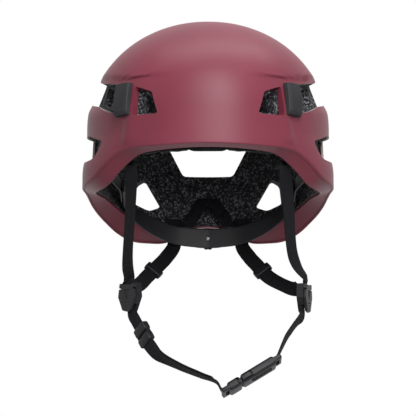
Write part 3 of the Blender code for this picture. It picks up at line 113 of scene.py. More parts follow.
FOAM_CROWN = 0.025
FOAM_SIDE = 0.0175
FOAM_EDGE = 0.0130
FOAM_CROWN_SPAN = (0.0, 0.7)
FOAM_EDGE_SPAN = (0.72, 0.26)
FOAM_EDGE_RISE = 0.0015
FOAM_HEEL = 0.0017
FOAM_HEEL_SLOPE = 0.25
FRONT_VENT = [((18.6, -0.005), (21.3, 0.0143)), ((24.0, -0.005), (25.2, 0.0178)),
              ((29.4, -0.005), (29.2, 0.0207))]
UPPER_VENT = [
    ((32.0, -0.004), (32.0, 0.0235)), ((44.0, 0.0025), (44.0, 0.0280)),
    ((57.0, 0.0120), (56.0, 0.0335)), ((69.0, 0.0170), (69.0, 0.0390)),
    ((80.0, 0.0215), (80.0, 0.044)),
    ((94.0, 0.024), (94.0, 0.0475)), ((106.0, 0.027), (112.0, 0.0495)),
]
LOWER_VENT = [
    ((49.8, -0.0243), (49.8, -0.0205)), ((55.0, -0.0340), (60.0, -0.0150)),
    ((64.0, -0.0350), (70.0, -0.0100)), ((79.0, -0.0325), (81.0, -0.0085)),
    ((92.0, -0.0300), (93.0, -0.0060)), ((105.0, -0.0280), (108.0, -0.0030)),
]
FOAM_LOWER_VENT = [
    ((76.0, -0.0280), (80.0, -0.0100)), ((91.0, -0.0285), (92.5, -0.0060)),
    ((105.0, -0.0280), (108.0, -0.0030)),
]
REAR_TOP_VENT = [((122.0, 0.026), (124.0, 0.047)), ((143.0, 0.024), (146.0, 0.048))]
REAR_WINDOW = [(-0.0242, -0.0247), (0.0242, -0.0247), (0.0420, 0.0095), (-0.0420, 0.0095)]
SIDE_WINDOW = [
    (0.0612, -0.0304), (0.0457, -0.0572), (0.0564, -0.0621), (0.0707, -0.0565), (0.0690, -0.0365),
]
WINDOW_SPAN = (0.062, 0.150)
WINDOW_LEDGE = 0.0035
FOAM_WINDOWS = [(48.0, 60.0), (64.0, 79.0), (83.5, 99.0)]
VENT_OUT = 0.012
VENT_IN = 0.009
FOAM_CUT_IN = 0.040
FOAM_LEDGE = 0.0022
UPPER_RECESS = 0.0080
LOWER_RECESS = 0.0110
FRONT_RECESS = 0.0075
FRONT_RECESS_ROOM = 0.0008
VENT_CORNER = 0.0020
WINDOW_CORNER = 0.0030
FLANK_DEPTH = 0.0055
FLANK_THICKNESS = 0.0008
FLANK_SINK = 0.0012
# How finely the domes are divided round and down, and the steps that a normal is measured over.
SHELL_GRID = (192, 78)
FOAM_GRID = (128, 40)
NORMAL_STEP, NORMAL_TURN = 0.002, 0.01

# Height of the soft step under the crown, and how much of it shows, by degrees from the front.
STEP_LINE = [
    (0, 0.0260), (20, 0.0285), (32, 0.0285), (44, 0.0320), (56, 0.0375), (69, 0.0430), (80, 0.0480),
    (94, 0.0515), (112, 0.0535), (124, 0.0510), (146, 0.0520), (165, 0.0420), (180, 0.0360),
]
STEP_SHARE = [(12, 0.0), (24, 1.0), (50, 1.0), (66, 0.25), (150, 0.25), (168, 0.0)]
STEP_WIDTH = 0.0019
# The ridge under a front lamp clip: its two ends, and how far it spreads to either side.
RIDGE_TOP = (31.0, -0.0060)
RIDGE_FOOT = (33.5, -0.0310)
RIDGE_INSIDE = 0.0180
RIDGE_OUTSIDE = 0.0065
RIDGE_FADE_TOP = (-0.0140, 0.016)
RIDGE_FADE_FOOT = (RIDGE_FOOT[1], 0.008)
RIDGE_POWER = 1.3
# The lip under the crease: its share of the face there, then the step's share and its depth.
RIM_SHARE = 0.13
RIM_STEP = 0.03
RIM_DEPTH = 0.0007
# Heights where the step under the crown fades in and out.
CREASE_FADE = (-0.0300, 0.0150)
CROWN_FADE = (0.0450, 0.0400)
# How the edges under and over the upper vents roll in.
ROLL_SPAN = (46.0, 116.0)
ROLL_FADE = 14.0
ROLL_DEPTH = 0.0022
ROLL_REACH = 0.0110
LIP_DEPTH = 0.0008
LIP_REACH = 0.0030
# How the crown lies in from the plain dome.
SINK_TURN = (50.0, 30.0)
SINK_TOP = (0.0700, 0.0280)
SINK_FOOT = (0.0280, 0.0200)
SINK_FRONT_FADE = 0.0700
CROWN_SINK = 0.0016
SIDE_SINK = 0.0012

# ---- Fine shapes ----
SECTION_POINTS = 20
PAD_VOXEL = 0.0040
PAD_INSET = 0.0008
PAD_FRAMES = 20
PAD_PRESSURE = 4
# Channels sewn into the pads: directions in degrees, and the crown pad's ring and middle seam.
CHANNEL_DEPTH = 0.0011
CHANNEL_WIDTH = 0.0028
BROW_CHANNELS = (-22, -8, 8, 22)
SIDE_CHANNEL = 80
CROWN_RING = 0.024
CROWN_SEAM = 0.0004
CLIP_CREST = 0.22
# The webbing's edge: how far it steps in and out, steps to a side, and where the edge begins.
EDGE_BITE = 0.00026
EDGE_STEPS = 3
EDGE_SHARE = 0.46
CUFF_GAP = 0.0018
CUFF_SHIFT = 0.0004
# The dividers' levers: lift off the body, hinge ears, the thumb's recess and the grip dots.
LEVER_LIFT = 0.0003
LEVER_SHOULDER = 0.0078
LEVER_TAPER = 0.90
EAR_SIZE = (0.0021, 0.0044, 0.0034)
EAR_PLACE = (0.0093, 0.0109)
THUMB_RECESS = [(-0.0052, 0.0072), (0.0052, 0.0072), (0.0, -0.0020)]
THUMB_MIDDLE = 0.0040
THUMB_DEPTH = 0.0012
THUMB_CLEAR = 0.004
THUMB_DRAFT = 1.5
GRIP_DOTS = [
    (-0.0030, -0.0040), (0.0, -0.0040), (0.0030, -0.0040), (-0.0022, -0.0065), (0.0012, -0.0065),
    (-0.0008, -0.0090),
]
GRIP_RADIUS = 0.00055
# Bar tacks: stitches in a row, and a stitch's share of its pitch, two radii and turn in degrees.
STITCHES = 9
STITCH_SIZE = (0.62, 0.00022, 0.00016)
STITCH_TURN = 32
TACK_STATION = 16
TACK_SHARE = 0.8
TACK_LENGTH = 0.0030
TACK_ROWS = 3

# ---- Stage ----
FLOOR_HALF = 3.0
FLOOR_GAP = 0.0200
KEY_POWER = 39
TOP_POWER = 15
FILL_POWER = 0.9
AMBIENT = 0.14
# Each light's place from the shell's middle, its size and its power.
LIGHTS = {
    "key": ((0.24, -1.35, 0.62), (0.45, 1.50), KEY_POWER),
    "top": ((0.16, 0.05, 1.50), (0.50, 1.60), TOP_POWER),
    "fill": ((-0.5, -1.5, -0.2), (1.2, 1.0), FILL_POWER),
}
FLOOR_SHADE = 0.36
CAMERA_LENS = 143.4
CAMERA_PLACE = (0.0, -1.4888, -0.3167)
CAMERA_RISE = 7.0

# ---- Headband, from the solids ----
BAND_THICKNESS = 0.0016
BAND_GAP = 0.0011
BAND_STEPS = 8
BAND_POWERS = (0.28, 0.28)
BAND_ROUTE = [
    (0.0765, 0.0120, -0.0478, 0.0120), (0.0765, 0.0280, -0.0531, 0.0122),
    (0.0765, 0.0400, -0.0571, 0.0125), (0.0720, 0.0560, -0.0640, 0.0132),
    (0.0625, 0.0700, -0.0712, 0.0142), (0.0490, 0.0801, -0.0785, 0.0158),
    (0.0283, 0.0885, -0.0855, 0.0177), (0.0, 0.0918, -0.0878, 0.0185),
]
ARM_REAR_Y = 0.034
ARM_BOW = (0.001, 0.0048)
ARM_TIP = (0.0006, -0.007, 0.0014, 0.6)
ARM_WIDTH = 0.0105
TEMPLE_X = 0.0868
TEMPLE_Y = -0.0300
TEMPLE_Z = -0.0385
TEMPLE_WIDTH = 0.0135
DIAL_RADIUS = 0.0104
DIAL_THICKNESS = 0.0062
DIAL_GRIPS = 14
DIAL_GRIP_SIDES = 12
DIAL_DRAFT = 0.94
DIAL_WAVE = 0.035
DIAL_RIM = 0.0022
DIAL_LIP = 0.0006
DIAL_DISH = 0.0008
DIAL_GAP = 0.0004
COVER_THICKNESS = 0.0042
COVER_HALF_WIDTH = 0.0200
COVER_HALF_HEIGHT = 0.0088
COVER_GAP = 0.0004
COVER_SIDES = 48
COVER_POWERS = (0.6, 0.8)
YOKE_TOP_Z = -0.0470
YOKE_TOP_HALF_WIDTH = 0.0125
YOKE_FOOT_OUT = 0.0275
YOKE_FOOT_IN = 0.0138
YOKE_CROTCH_Z = -0.0530
YOKE_THICKNESS = 0.0014
YOKE_RISE = 0.0016
YOKE_SHOULDER = (0.0005, 0.005)
YOKE_CHAMFER = 0.002
YOKE_GAP = 0.0024
YOKE_FOOT_GAP = 0.0008

# ---- Lamp clips ----
CLIP_ANGLES = (30.2, 37.9)
CLIP_HEIGHTS = (-0.0045, 0.0238)
CLIP_GAP = 0.0004
CLIP_THICKNESS = 0.0040
CLIP_RIDGE = 0.0012
CLIP_DRAFT = 0.0022
CLIP_FALL = 0.35
CLIP_FOOT = (0.0012, 0.10)
REAR_CLIP_Z = -0.0420
REAR_CLIP_HALF_HEIGHT = 0.0150
REAR_CLIP_WIDTH = 0.0170
REAR_CLIP_GAP = 0.0003
REAR_CLIP_SLOT = 0.0062
REAR_CLIP_THICKNESS = 0.0030
REAR_CLIP_FOOT = 0.0050
REAR_CLIP_CHAMFERS = (0.002, 0.004)
REAR_CLIP_HOOK = 0.001
REAR_CLIP_HEEL = 0.0006

# ---- Straps and their fittings ----
WEBBING_WIDTH = 0.0130
WEBBING_THICKNESS = 0.0013
WEBBING_POWERS = (0.3, 0.3)
STRAP_GAP = 0.0004
ROUTE_STEPS = 12
ANCHOR_HEIGHT = 0.0075
ANCHOR_THICKNESS = 0.0018
ANCHOR_GAP = 0.0020
ANCHOR_CLEARANCE = 0.0010
ANCHOR_DROPS = (-ANCHOR_HEIGHT / 4, ANCHOR_HEIGHT / 2 + 0.003, ANCHOR_HEIGHT / 2 + 0.007)
FRONT_ANCHOR = (40.5, -0.0345)
REAR_ANCHOR = (160.0, -0.0760)
SLIDER_LENGTH = 0.0085
SLIDER_WALL = 0.0016
SLIDER_SLACK = 0.0006
DIVIDER_CENTRES = {"left": (0.0869, 0.003, -0.1517), "right": (-0.0703, 0.003, -0.1508)}
DIVIDER_TURNS = {"left": 73.0, "right": -50.0}
DIVIDER_OUTLINE = [(0.0, -0.0135), (0.0060, -0.0112), (0.0124, 0.0010), (0.0105, 0.0135)]
DIVIDER_BASE = 0.0018
DIVIDER_CHEEK = 0.0035
DIVIDER_SLOT_LENGTH = 0.060
LEVER_THICKNESS = 0.0026
LEVER_GAP = 0.0010
LEVER_TOP = 0.0119
LEVER_FOOT = -0.0125
DIVIDER_STOPS = (0.0200, 0.0155, 0.0080, 0.0020)
DIVIDER_SHIFT = 0.0020
CHIN_RIGHT_SLOPE = (0.44, -0.388, -0.809)
CHIN_RIGHT_STRAIGHT = 0.0350
CHIN_RIGHT_STEPS = (0.006, 0.014, 0.024, 0.0300, CHIN_RIGHT_STRAIGHT)
CHIN_STOPS = (0.0, -0.0080)
CHIN_RIGHT_FOOT = -0.0150
CHIN_LEFT_FOOT = -0.0145
RETURN_ENDS = (4.75, 3.25)                  # stops from either end of the chin strap
ADJUSTER_PLACE = 0.0230
ADJUSTER_LENGTH = 0.0190
ADJUSTER_WALL = 0.0016
ADJUSTER_SLACK = 0.0006
CUFF_ROUND = 0.28
CUFF_BULGE = 0.0004
RAIL_LENGTH = 0.0058
BUCKLE_AXIS = (0.83, 0.10, 0.50)
BUCKLE_FACE = (0.53, -0.20, -0.80)
BUCKLE_MOUTH = (0.0290, -0.048, -0.2270)
BUCKLE_WIDTH = 0.0225
BUCKLE_THICKNESS = 0.0080
BUCKLE_BODY_LENGTH = 0.0340
BUCKLE_WALL = 0.0014
BUCKLE_POCKET_DEPTH = 0.0240
BUCKLE_CLEARANCE = 0.0005
MALE_LENGTH = 0.0135
BUTTON_LENGTH = 0.0095
BUTTON_PROUD = 0.0016
NOTCH_CLEARANCE = 0.0014
ARM_LENGTH = 0.0200
ARM_THICKNESS = 0.0022
TONGUE_WIDTH = 0.0044
TONGUE_LENGTH = 0.0215
BAR_SLOT = 0.0034
BAR_WIDTH = 0.0028
BAR_THICKNESS = 0.0040
BAR_ROOT = 0.006
BAR_LEAD = 0.0012
BAR_WRAP = 0.45
SLOT_ROOM = 0.0012
RIB_SIZE = (0.0200, 0.0052, 0.0030)
RIB_PLACE = (0.0185, 0.0010)
# Rounding of each block, as a width and a number of segments.
BODY_ROUND = (0.0027, 6)
BAR_ROUND = (0.0012, 4)
RIB_ROUND = (0.0013, 4)
TONGUE_ROUND = (0.0006, 3)
ARM_ROUND = (0.0005, 3)
BUTTON_ROUND = (0.0009, 4)
ARM_ROOT = 0.0035
TONGUE_ROOT = 0.004
ARM_NOTCH = (0.008, 0.0012)
FRONT_ROUTES = {
    "left": [((0.0703, -0.050, -0.0721), (0.70, 0.66, 0.27)),
             ((0.0755, -0.018, -0.1130), (0.60, 0.77, 0.20))],
    "right": [((-0.0678, -0.050, -0.0721), (0.64, -0.70, -0.30)),
              ((-0.0715, -0.018, -0.1130), (0.62, -0.76, -0.20))],
}
REAR_ROUTES = {
    "left": [((0.0330, 0.0955, -0.0952), (0.75, 0.35, 0.55)),
             ((0.0395, 0.0775, -0.1072), (0.40, 0.50, 0.75)),
             ((0.0450, 0.0670, -0.1145), (0.33, 0.50, 0.80)),
             ((0.0571, 0.0470, -0.1290), (0.33, 0.50, 0.80)),
             ((0.0735, 0.0255, -0.1395), (0.25, 0.55, 0.80))],
    "right": [((-0.0330, 0.0955, -0.0952), (-0.75, 0.35, 0.55)),
              ((-0.0395, 0.0775, -0.1072), (-0.40, 0.50, 0.75)),
              ((-0.0455, 0.0665, -0.1150), (-0.33, 0.50, 0.80)),
              ((-0.0562, 0.0472, -0.1276), (-0.33, 0.50, 0.80)),
              ((-0.0627, 0.0280, -0.1365), (-0.40, 0.45, 0.80))],
}
REAR_SLANT = (0.75, 0.66)
REAR_SEWN = [(0.0095, 0.0090, 0.0012), (0.0050, 0.0040, 0.0), (0.0010, -0.0005, 0.0)]
SLIDER_SPAN = (2, 3)
CHIN_RIGHT_ROUTE = [
    ((-0.0430, -0.0200, -0.2042), (0.48, -0.86, 0.15)),
    ((-0.0247, -0.0300, -0.2140), (0.26, -0.96, 0.14)),
    ((-0.0070, -0.0385, -0.2215), (0.14, -0.98, 0.14)),
    ((0.0065, -0.0440, -0.2268), (0.06, -0.99, 0.10)),
]
CHIN_LEFT_ROUTE = [
    ((0.0808, -0.0070, -0.1712), (0.24, 0.95, -0.05)),
    ((0.0745, -0.0160, -0.1795), (0.20, 0.96, -0.10)),
    ((0.0682, -0.0260, -0.1890), (0.14, 0.96, -0.16)),
]

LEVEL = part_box("outer_shell")[1][2] - CROWN_HEIGHT      # the shell's widest level in the frame


def linear(text):
    """Linear colour of an sRGB hex value."""
    values = [int(text[i:i + 2], 16) / 255 for i in (1, 3, 5)]
    return tuple(v / 12.92 if v <= 0.04045 else ((v + 0.055) / 1.055) ** 2.4 for v in values)


# ---- What a user would change ----
def colour_setting(name, description, colour):
    """A colour that a user can change."""
    return FloatVectorProperty(
        name=name, description=description, subtype="COLOR", size=3, default=linear(colour),
        min=0, max=1,
    )


def length_setting(name, description, default, low, high):
    """A length in metres that a user can change."""
    return FloatProperty(
        name=name, description=description, default=default, min=low, max=high,
        subtype="DISTANCE", unit="LENGTH",
    )


class HelmetColours(bpy.types.PropertyGroup):
    """Colours of the helmet's pieces."""

    shell: colour_setting("Shell", "Satin paint of the hard shell", "#672a37")
    # Pale trimmed-edge colour; on the vents' cut faces it is also a painted highlight.
    shell_edge_and_highlight: colour_setting("Shell edge", "Bare plastic where the shell is trimmed", "#a39891")
    foam: colour_setting("Foam", "Darker beads of the foam", "#17171a")
    foam_fleck: colour_setting("Foam fleck", "Paler beads of the foam", "#77767a")
    nylon: colour_setting("Nylon", "Moulded clips, headband and buckles", "#1b1b1e")
    clip: colour_setting("Lamp clip", "Matt moulding of the lamp clips", "#212124")
    webbing: colour_setting("Webbing", "Yarn of the straps", "#18181b")
    pad: colour_setting("Pad", "Knitted cover of the pads", "#121215")


class HelmetSizes(bpy.types.PropertyGroup):
    """Fine sizes of the helmet's finish."""

    edge_round: length_setting(
        "Shell edge rounding", "Rounding of the shell's crease and openings",
        0.0008, 0.0002, 0.0015,
    )
    step_depth: length_setting(
        "Crown step", "How far the crown stands over the sides", 0.0012, 0, 0.0025,
    )
    ridge_height: length_setting(
        "Corner ridge", "How far the ridge under a lamp clip stands out", 0.0025, 0, 0.0035,
    )
    bead: length_setting("Foam bead", "Width of one foam bead", 0.0015, 0.001, 0.005)
    yarn: length_setting(
        "Webbing yarn", "Width of one rib of the webbing's weave", 0.0011, 0.0006, 0.003,
    )
    pad_swell: length_setting(
        "Pad swell", "How far a pad's skin may swell over its core", 0.0016, 0, 0.004,
    )


# ---- The shell's surface ----
def ease(x):
    """Smooth step from 0 to 1."""
    x = min(1.0, max(0.0, x))
    return x * x * (3 - 2 * x)


def fade(x, start_and_reach):
    """Smooth step from 0 at a start to 1 at a reach past it."""
    start, reach = start_and_reach
    return ease((x - start) / reach)


def read_curve(points, x):
    """Smooth value at x of a curve through (x, y) points, flat at both ends."""
    if x <= points[0][0]:
        return points[0][1]
    if x >= points[-1][0]:
        return points[-1][1]
    i = max(k for k in range(len(points) - 1) if points[k][0] <= x)
    (x0, y0), (x1, y1) = points[i], points[i + 1]
    before, after = points[max(i - 1, 0)], points[min(i + 2, len(points) - 1)]
    slope0 = (y1 - before[1]) / (x1 - before[0]) if i > 0 else 0.0
    slope1 = (after[1] - y0) / (after[0] - x0) if i + 2 < len(points) else 0.0
    h = x1 - x0
    t = (x - x0) / h
    return (
        (2 * t**3 - 3 * t**2 + 1) * y0
        + (t**3 - 2 * t**2 + t) * h * slope0
        + (3 * t**2 - 2 * t**3) * y1
        + (t**3 - t**2) * h * slope1
    )


def from_front(angle):
    """Degrees from the front, 0 to 180."""
    return abs(math.degrees(math.remainder(angle, 2 * math.pi)))


def crease_height(angle):
    """Height of the shell's crease."""
    return read_curve(CREASE_LINE, from_front(angle))


def edge_height(angle):
    """Height of the shell's lower edge."""
    return read_curve(EDGE_LINE, from_front(angle))


def oval_radius(angle):
    """Distance from the middle to the widest oval."""
    length = FRONT_LENGTH if math.cos(angle) > 0 else REAR_LENGTH
    side = (abs(math.sin(angle)) / HALF_WIDTH) ** PLAN_POWER
    along = (abs(math.cos(angle)) / length) ** PLAN_POWER
    return (side + along) ** (-1 / PLAN_POWER)


def surface_radius(angle, height):
    """Level distance from the middle to the shell's outer surface."""
    away = from_front(angle)
    radius = oval_radius(angle)
    if height > 0:
        radius *= math.sqrt(max(0.0, 1 - (height / CROWN_HEIGHT) ** 2))
    flare = ease(1 - abs(away - FLARE_MIDDLE) / FLARE_REACH) * fade(-height, FLARE_DROP)
    tuck = fade(away, TUCK_TURN) * fade(-height, TUCK_DROP)
    return radius + TEMPLE_FLARE * flare - NAPE_TUCK * tuck


def polar(angle, radius, height):
    """Point at an angle from the front, a level distance from the middle and a height."""
    return Vector((radius * math.sin(angle), -radius * math.cos(angle), height))


def surface_at(angle, height):
    """Point of the outer surface."""
    return polar(angle, surface_radius(angle, height), height)


def normal_at(angle, height):
    """Unit normal of the outer surface at an angle and a height, pointing out."""
    high = min(height + NORMAL_STEP, CROWN_HEIGHT * 0.999)
    up = surface_at(angle, high) - surface_at(angle, height - NORMAL_STEP)
    along = surface_at(angle + NORMAL_TURN, height) - surface_at(angle - NORMAL_TURN, height)
    normal = along.cross(up).normalized()
    return normal if normal.dot(polar(angle, 1, 0.5)) > 0 else -normal


def under_surface(angle, height, depth):
    """Point at a depth under the outer surface."""
    return surface_at(angle, height) - normal_at(angle, height) * depth


def bevel_inset(angle):
    """How far the face under the crease turns in."""
    return BEVEL_FRONT + (BEVEL_REAR - BEVEL_FRONT) * fade(from_front(angle), BEVEL_TURN)


def wall_foot(angle, depth):
    """Lower end of a wall at a depth, so that it stands as deep over the face under the crease."""
    crease = crease_height(angle)
    slope = (edge_height(angle) - crease) / bevel_inset(angle)
    return crease + depth * (slope + math.hypot(slope, 1))


def head_foot(angle, depth=0.0):
    """Lower end of the foam's inner face."""
    return max(crease_height(angle), edge_height(angle) + 2 * FOAM_EDGE_RISE)


def edge_place(angle, lift, inset):
    """Point over the shell's lower edge, further in by an inset."""
    radius = surface_radius(angle, crease_height(angle)) - bevel_inset(angle) - inset
    return polar(angle, radius, edge_height(angle) + lift)


def under_face(angle, share, depth):
    """Point on the face under the crease, a share of the way to the lower edge, sunk by a depth."""
    crease = polar(angle, surface_radius(angle, crease_height(angle)), crease_height(angle))
    edge = edge_place(angle, 0, 0)
    point = crease.lerp(edge, share)
    along = (edge - crease).normalized()
    inward = Vector((0, 0, 1)) - along * along.z
    return point + inward.normalized() * depth


def foam_depth(share):
    """Depth of the foam's inner face."""
    foam = FOAM_CROWN + (FOAM_SIDE - FOAM_CROWN) * fade(share, FOAM_CROWN_SPAN)
    foam += (FOAM_EDGE - FOAM_SIDE) * fade(share, FOAM_EDGE_SPAN)
    return SHELL_THICKNESS + FIT_GAP + foam


def inner_share(angle, height):
    """Share of the way down from the crown at a height."""
    turn = math.acos(max(-1.0, min(1.0, height / CROWN_HEIGHT)))
    if height < 0:
        turn = math.pi / 2 - height / CROWN_HEIGHT
    return turn / (math.pi / 2 - head_foot(angle) / CROWN_HEIGHT)


def dome_place(angle, share, depth, foot_of=wall_foot):
    """Point under the outer surface, a share of the way from the crown, 0, to a wall's foot, 1."""
    turn = share * (math.pi / 2 - foot_of(angle, depth) / CROWN_HEIGHT)
    if share < 0.001:
        return Vector((0, 0, CROWN_HEIGHT - depth))
    if turn < math.pi / 2:
        return under_surface(angle, CROWN_HEIGHT * math.cos(turn), depth)
    return under_surface(angle, -(turn - math.pi / 2) * CROWN_HEIGHT, depth)


def crown_step(angle, height, depth):
    """How far the crown stands over the sides, with a soft step above the vents."""
    away = from_front(angle)
    line = read_curve(STEP_LINE, away)
    share = read_curve(STEP_SHARE, away) * fade(height, CREASE_FADE)
    high = ease((height - line) / STEP_WIDTH) * (1 - fade(height, CROWN_FADE))
    return depth * share * (high - 0.5 * ease((line + STEP_WIDTH - height) / STEP_WIDTH))


def crown_sink(angle, height):
    """How far the crown lies in from the plain dome, most of all on its sides."""
    turned_away = fade(from_front(angle), SINK_TURN)
    reach = SINK_FRONT_FADE + (SINK_FOOT[1] - SINK_FRONT_FADE) * turned_away
    sides = turned_away * (1 - fade(height, SINK_TOP))
    return fade(height, (SINK_FOOT[0], reach)) * (CROWN_SINK + SIDE_SINK * sides)


def edge_roll(angle, height):
    """How far the edges over and under an upper vent roll inward."""
    away = from_front(angle)
    share = ease((away - ROLL_SPAN[0]) / ROLL_FADE) * ease((ROLL_SPAN[1] - away) / ROLL_FADE)
    under = read_curve([low for low, high in UPPER_VENT], away) - height
    over = height - read_curve([high for low, high in UPPER_VENT], away)
    low = ROLL_DEPTH * (1 - ease(max(0.0, under) / ROLL_REACH)) ** 2
    high = LIP_DEPTH * (1 - ease(max(0.0, over) / LIP_REACH))
    return share * (low if abs(under) < abs(over) else high)


def corner_ridge(angle, height, rise):
    """The soft ridge that runs down from a front lamp clip to the crease."""
    middle = RIDGE_TOP[0] + (RIDGE_FOOT[0] - RIDGE_TOP[0]) * (
        (RIDGE_TOP[1] - height) / (RIDGE_TOP[1] - RIDGE_FOOT[1])
    )
    off = math.radians(from_front(angle) - middle) * surface_radius(angle, height)
    width = RIDGE_OUTSIDE if off > 0 else RIDGE_INSIDE
    along = fade(-height, RIDGE_FADE_TOP) * fade(height, RIDGE_FADE_FOOT)
    return rise * along * max(0.0, 1 - abs(off) / width) ** RIDGE_POWER


# ---- Meshes ----
def facing(origin, x_axis, y_axis):
    """Placement at an origin with given X and roughly given Y directions."""
    x = Vector(x_axis).normalized()
    z = x.cross(Vector(y_axis)).normalized()
    turn = Matrix((x, z.cross(x), z)).transposed()
    return Matrix.Translation(origin) @ turn.to_4x4()


def smooth_route(points, per_span):
    """Points of a smooth curve through the given points, any number of values each."""
    route = []
    for i in range(len(points) - 1):
        one, two = points[i], points[i + 1]
        before = points[i - 1] if i > 0 else one
        after = points[i + 2] if i + 2 < len(points) else two
        for k in range(per_span):
            t = k / per_span
            route.append(tuple(
                0.5 * (
                    2 * b + (c - a) * t + (2 * a - 5 * b + 4 * c - d) * t * t
                    + (3 * b - a - 3 * c + d) * t**3
                )
                for a, b, c, d in zip(before, one, two, after)
            ))
    route.append(tuple(points[-1]))
    return route


def mesh_of(name, bm):
    """Turns a bmesh into a mesh with its faces outward."""
    bmesh.ops.remove_doubles(bm, verts=bm.verts, dist=0.000004)
    bmesh.ops.recalc_face_normals(bm, faces=bm.faces)
    mesh = bpy.data.meshes.new(name)
    bm.to_mesh(mesh)
    bm.free()
    return mesh


def bevel_edges(bm, edges, offset, segments):
    """Rounds edges and returns the new faces."""
    return bmesh.ops.bevel(
        bm, geom=edges, offset=offset, segments=segments, affect="EDGES", profile=0.5, material=-1
    )["faces"]


def slab(bm, outline, low, high, place=None):
    """Makes a flat outline solid between two heights, and returns its vertices."""
    verts = [bm.verts.new((x, y, low)) for x, y in outline]
    edges = [bm.edges.new(pair) for pair in zip(verts, verts[1:] + verts[:1])]
    faces = bmesh.ops.edgeloop_fill(bm, edges=edges)["faces"]
    made = bmesh.ops.extrude_face_region(bm, geom=faces)["geom"]
    top = [g for g in made if isinstance(g, bmesh.types.BMVert)]
    bmesh.ops.translate(bm, verts=top, vec=(0, 0, high - low))
    if place is not None:
        bmesh.ops.transform(bm, matrix=place, verts=verts + top)
    return verts + top


def block(bm, size, centre, bevel=0.0, segments=3, place=None):
    """A box with rounded edges, and returns its vertices."""
    verts = bmesh.ops.create_cube(bm, size=1)["verts"]
    bmesh.ops.scale(bm, verts=verts, vec=size)
    bmesh.ops.translate(bm, verts=verts, vec=centre)
    if bevel > 0:
        edges = list({e for v in verts for e in v.link_edges})
        faces = {f for v in verts for f in v.link_faces}
        made = set(bevel_edges(bm, edges, bevel, segments))
        verts = list({v for f in made | {f for f in faces if f.is_valid} for v in f.verts})
    if place is not None:
        bmesh.ops.transform(bm, matrix=place, verts=verts)
    return verts


def swept(bm, spine, across, section):
    """A closed section carried along a spine, capped, with UVs in metres along and across it.

    Section gives, for a row and the distance along, the points across and off the spine.
    """
    rows = [section(i) for i in range(len(spine))]
    points = len(rows[0])
    weave = bm.loops.layers.uv.get("weave") or bm.loops.layers.uv.new("weave")
    made = bmesh.ops.create_grid(
        bm, x_segments=len(spine) - 1, y_segments=points, size=1, calc_uvs=True
    )["verts"]
    along = [0.0]
    for one, two in zip(spine, spine[1:]):
        along.append(along[-1] + (two - one).length)
    frames = []
    for i in range(len(spine)):
        forward = (spine[min(i + 1, len(spine) - 1)] - spine[max(i - 1, 0)]).normalized()
        side = (across[i] - forward * across[i].dot(forward)).normalized()
        frames.append((side, forward.cross(side)))
    for face in {f for v in made for f in v.link_faces}:
        for loop in face.loops:
            i = round(loop[weave].uv.x * (len(spine) - 1))
            k = round(loop[weave].uv.y * points)
            loop[weave].uv = (along[i], rows[i][k % points][0])
    for v in made:
        i = round((v.co.x + 1) / 2 * (len(spine) - 1))
        k = round((v.co.y + 1) / 2 * points) % points
        (side, out), (x, z) = frames[i], rows[i][k]
        v.co = spine[i] + side * x + out * z
    bmesh.ops.remove_doubles(bm, verts=made, dist=0.000004)
    ends = [e for e in bm.edges if e.is_boundary]
    bmesh.ops.holes_fill(bm, edges=ends, sides=0)


def oval(half_width, half_height, points, powers, shift=0.5):
    """A rounded flat outline. Lower powers make it squarer, and shift turns its first point."""
    def reach(half, x, power):
        return half * math.copysign(abs(x) ** power, x)

    turns = [2 * math.pi * (k + shift) / points for k in range(points)]
    return [
        (reach(half_width, math.cos(a), powers[0]), reach(half_height, math.sin(a), powers[1]))
        for a in turns
    ]


def round_edges(obj, width, segments=2, angle=32):
    """Rounds an object's edges that are sharper than an angle."""
    modifier = obj.modifiers.new("rounded edges", "BEVEL")
    modifier.width = width
    modifier.segments = segments
    modifier.limit_method = "ANGLE"
    modifier.angle_limit = math.radians(angle)
    modifier.use_clamp_overlap = True
    modifier.harden_normals = False


def apply_modifiers(obj):
    """Puts the result of an object's modifiers into its mesh."""
    bpy.context.view_layer.update()
    evaluated = obj.evaluated_get(bpy.context.evaluated_depsgraph_get())
    mesh = bpy.data.meshes.new_from_object(evaluated)
    old = obj.data
    obj.modifiers.clear()
    obj.data = mesh
    mesh.name = obj.name
    bpy.data.meshes.remove(old)


def stand_in(name, mesh, material=None):
    """An object linked to the scene, in the shell's own coordinates."""
    obj = bpy.data.objects.new(name, mesh)
    bpy.context.scene.collection.objects.link(obj)
    if material is not None:
        mesh.materials.append(material)
    return obj


def piece_from(name, bm, material):
    """An object made from a bmesh."""
    return stand_in(name, mesh_of(name, bm), material)


def slab_piece(name, material, *slab_settings):
    """An object made from a flat outline."""
    bm = bmesh.new()
    slab(bm, *slab_settings)
    return piece_from(name, bm, material)


def block_mesh(name, *block_settings):
    """A mesh of one block."""
    bm = bmesh.new()
    block(bm, *block_settings)
    return mesh_of(name, bm)


def combine(obj, operation, meshes):
    """Cuts meshes out of an object or joins them to it. A mesh's own material is kept."""
    made = []
    for mesh in meshes:
        other = stand_in(mesh.name, mesh)
        modifier = obj.modifiers.new(mesh.name, "BOOLEAN")
        modifier.operation = operation
        modifier.solver = "EXACT"
        if mesh.materials:
            modifier.material_mode = "TRANSFER"
        modifier.object = other
        made.append(other)
    apply_modifiers(obj)
    for other in made:
        bpy.data.objects.remove(other)


def carve(obj, *cutters):
    """Cuts each mesh out of an object, with the cutter's material on the cut faces."""
    for mesh, material in cutters:
        mesh.materials.append(material)
    combine(obj, "DIFFERENCE", [mesh for mesh, material in cutters])


def carve_boxes(obj, place, *boxes):
    """Cuts plain boxes, each a size and a centre, out of an object in its own material."""
    material = obj.data.materials[0]
    carve(obj, *[
        (block_mesh(f"{obj.name}_cut", size, centre, 0.0, 1, place), material)
        for size, centre in boxes
    ])


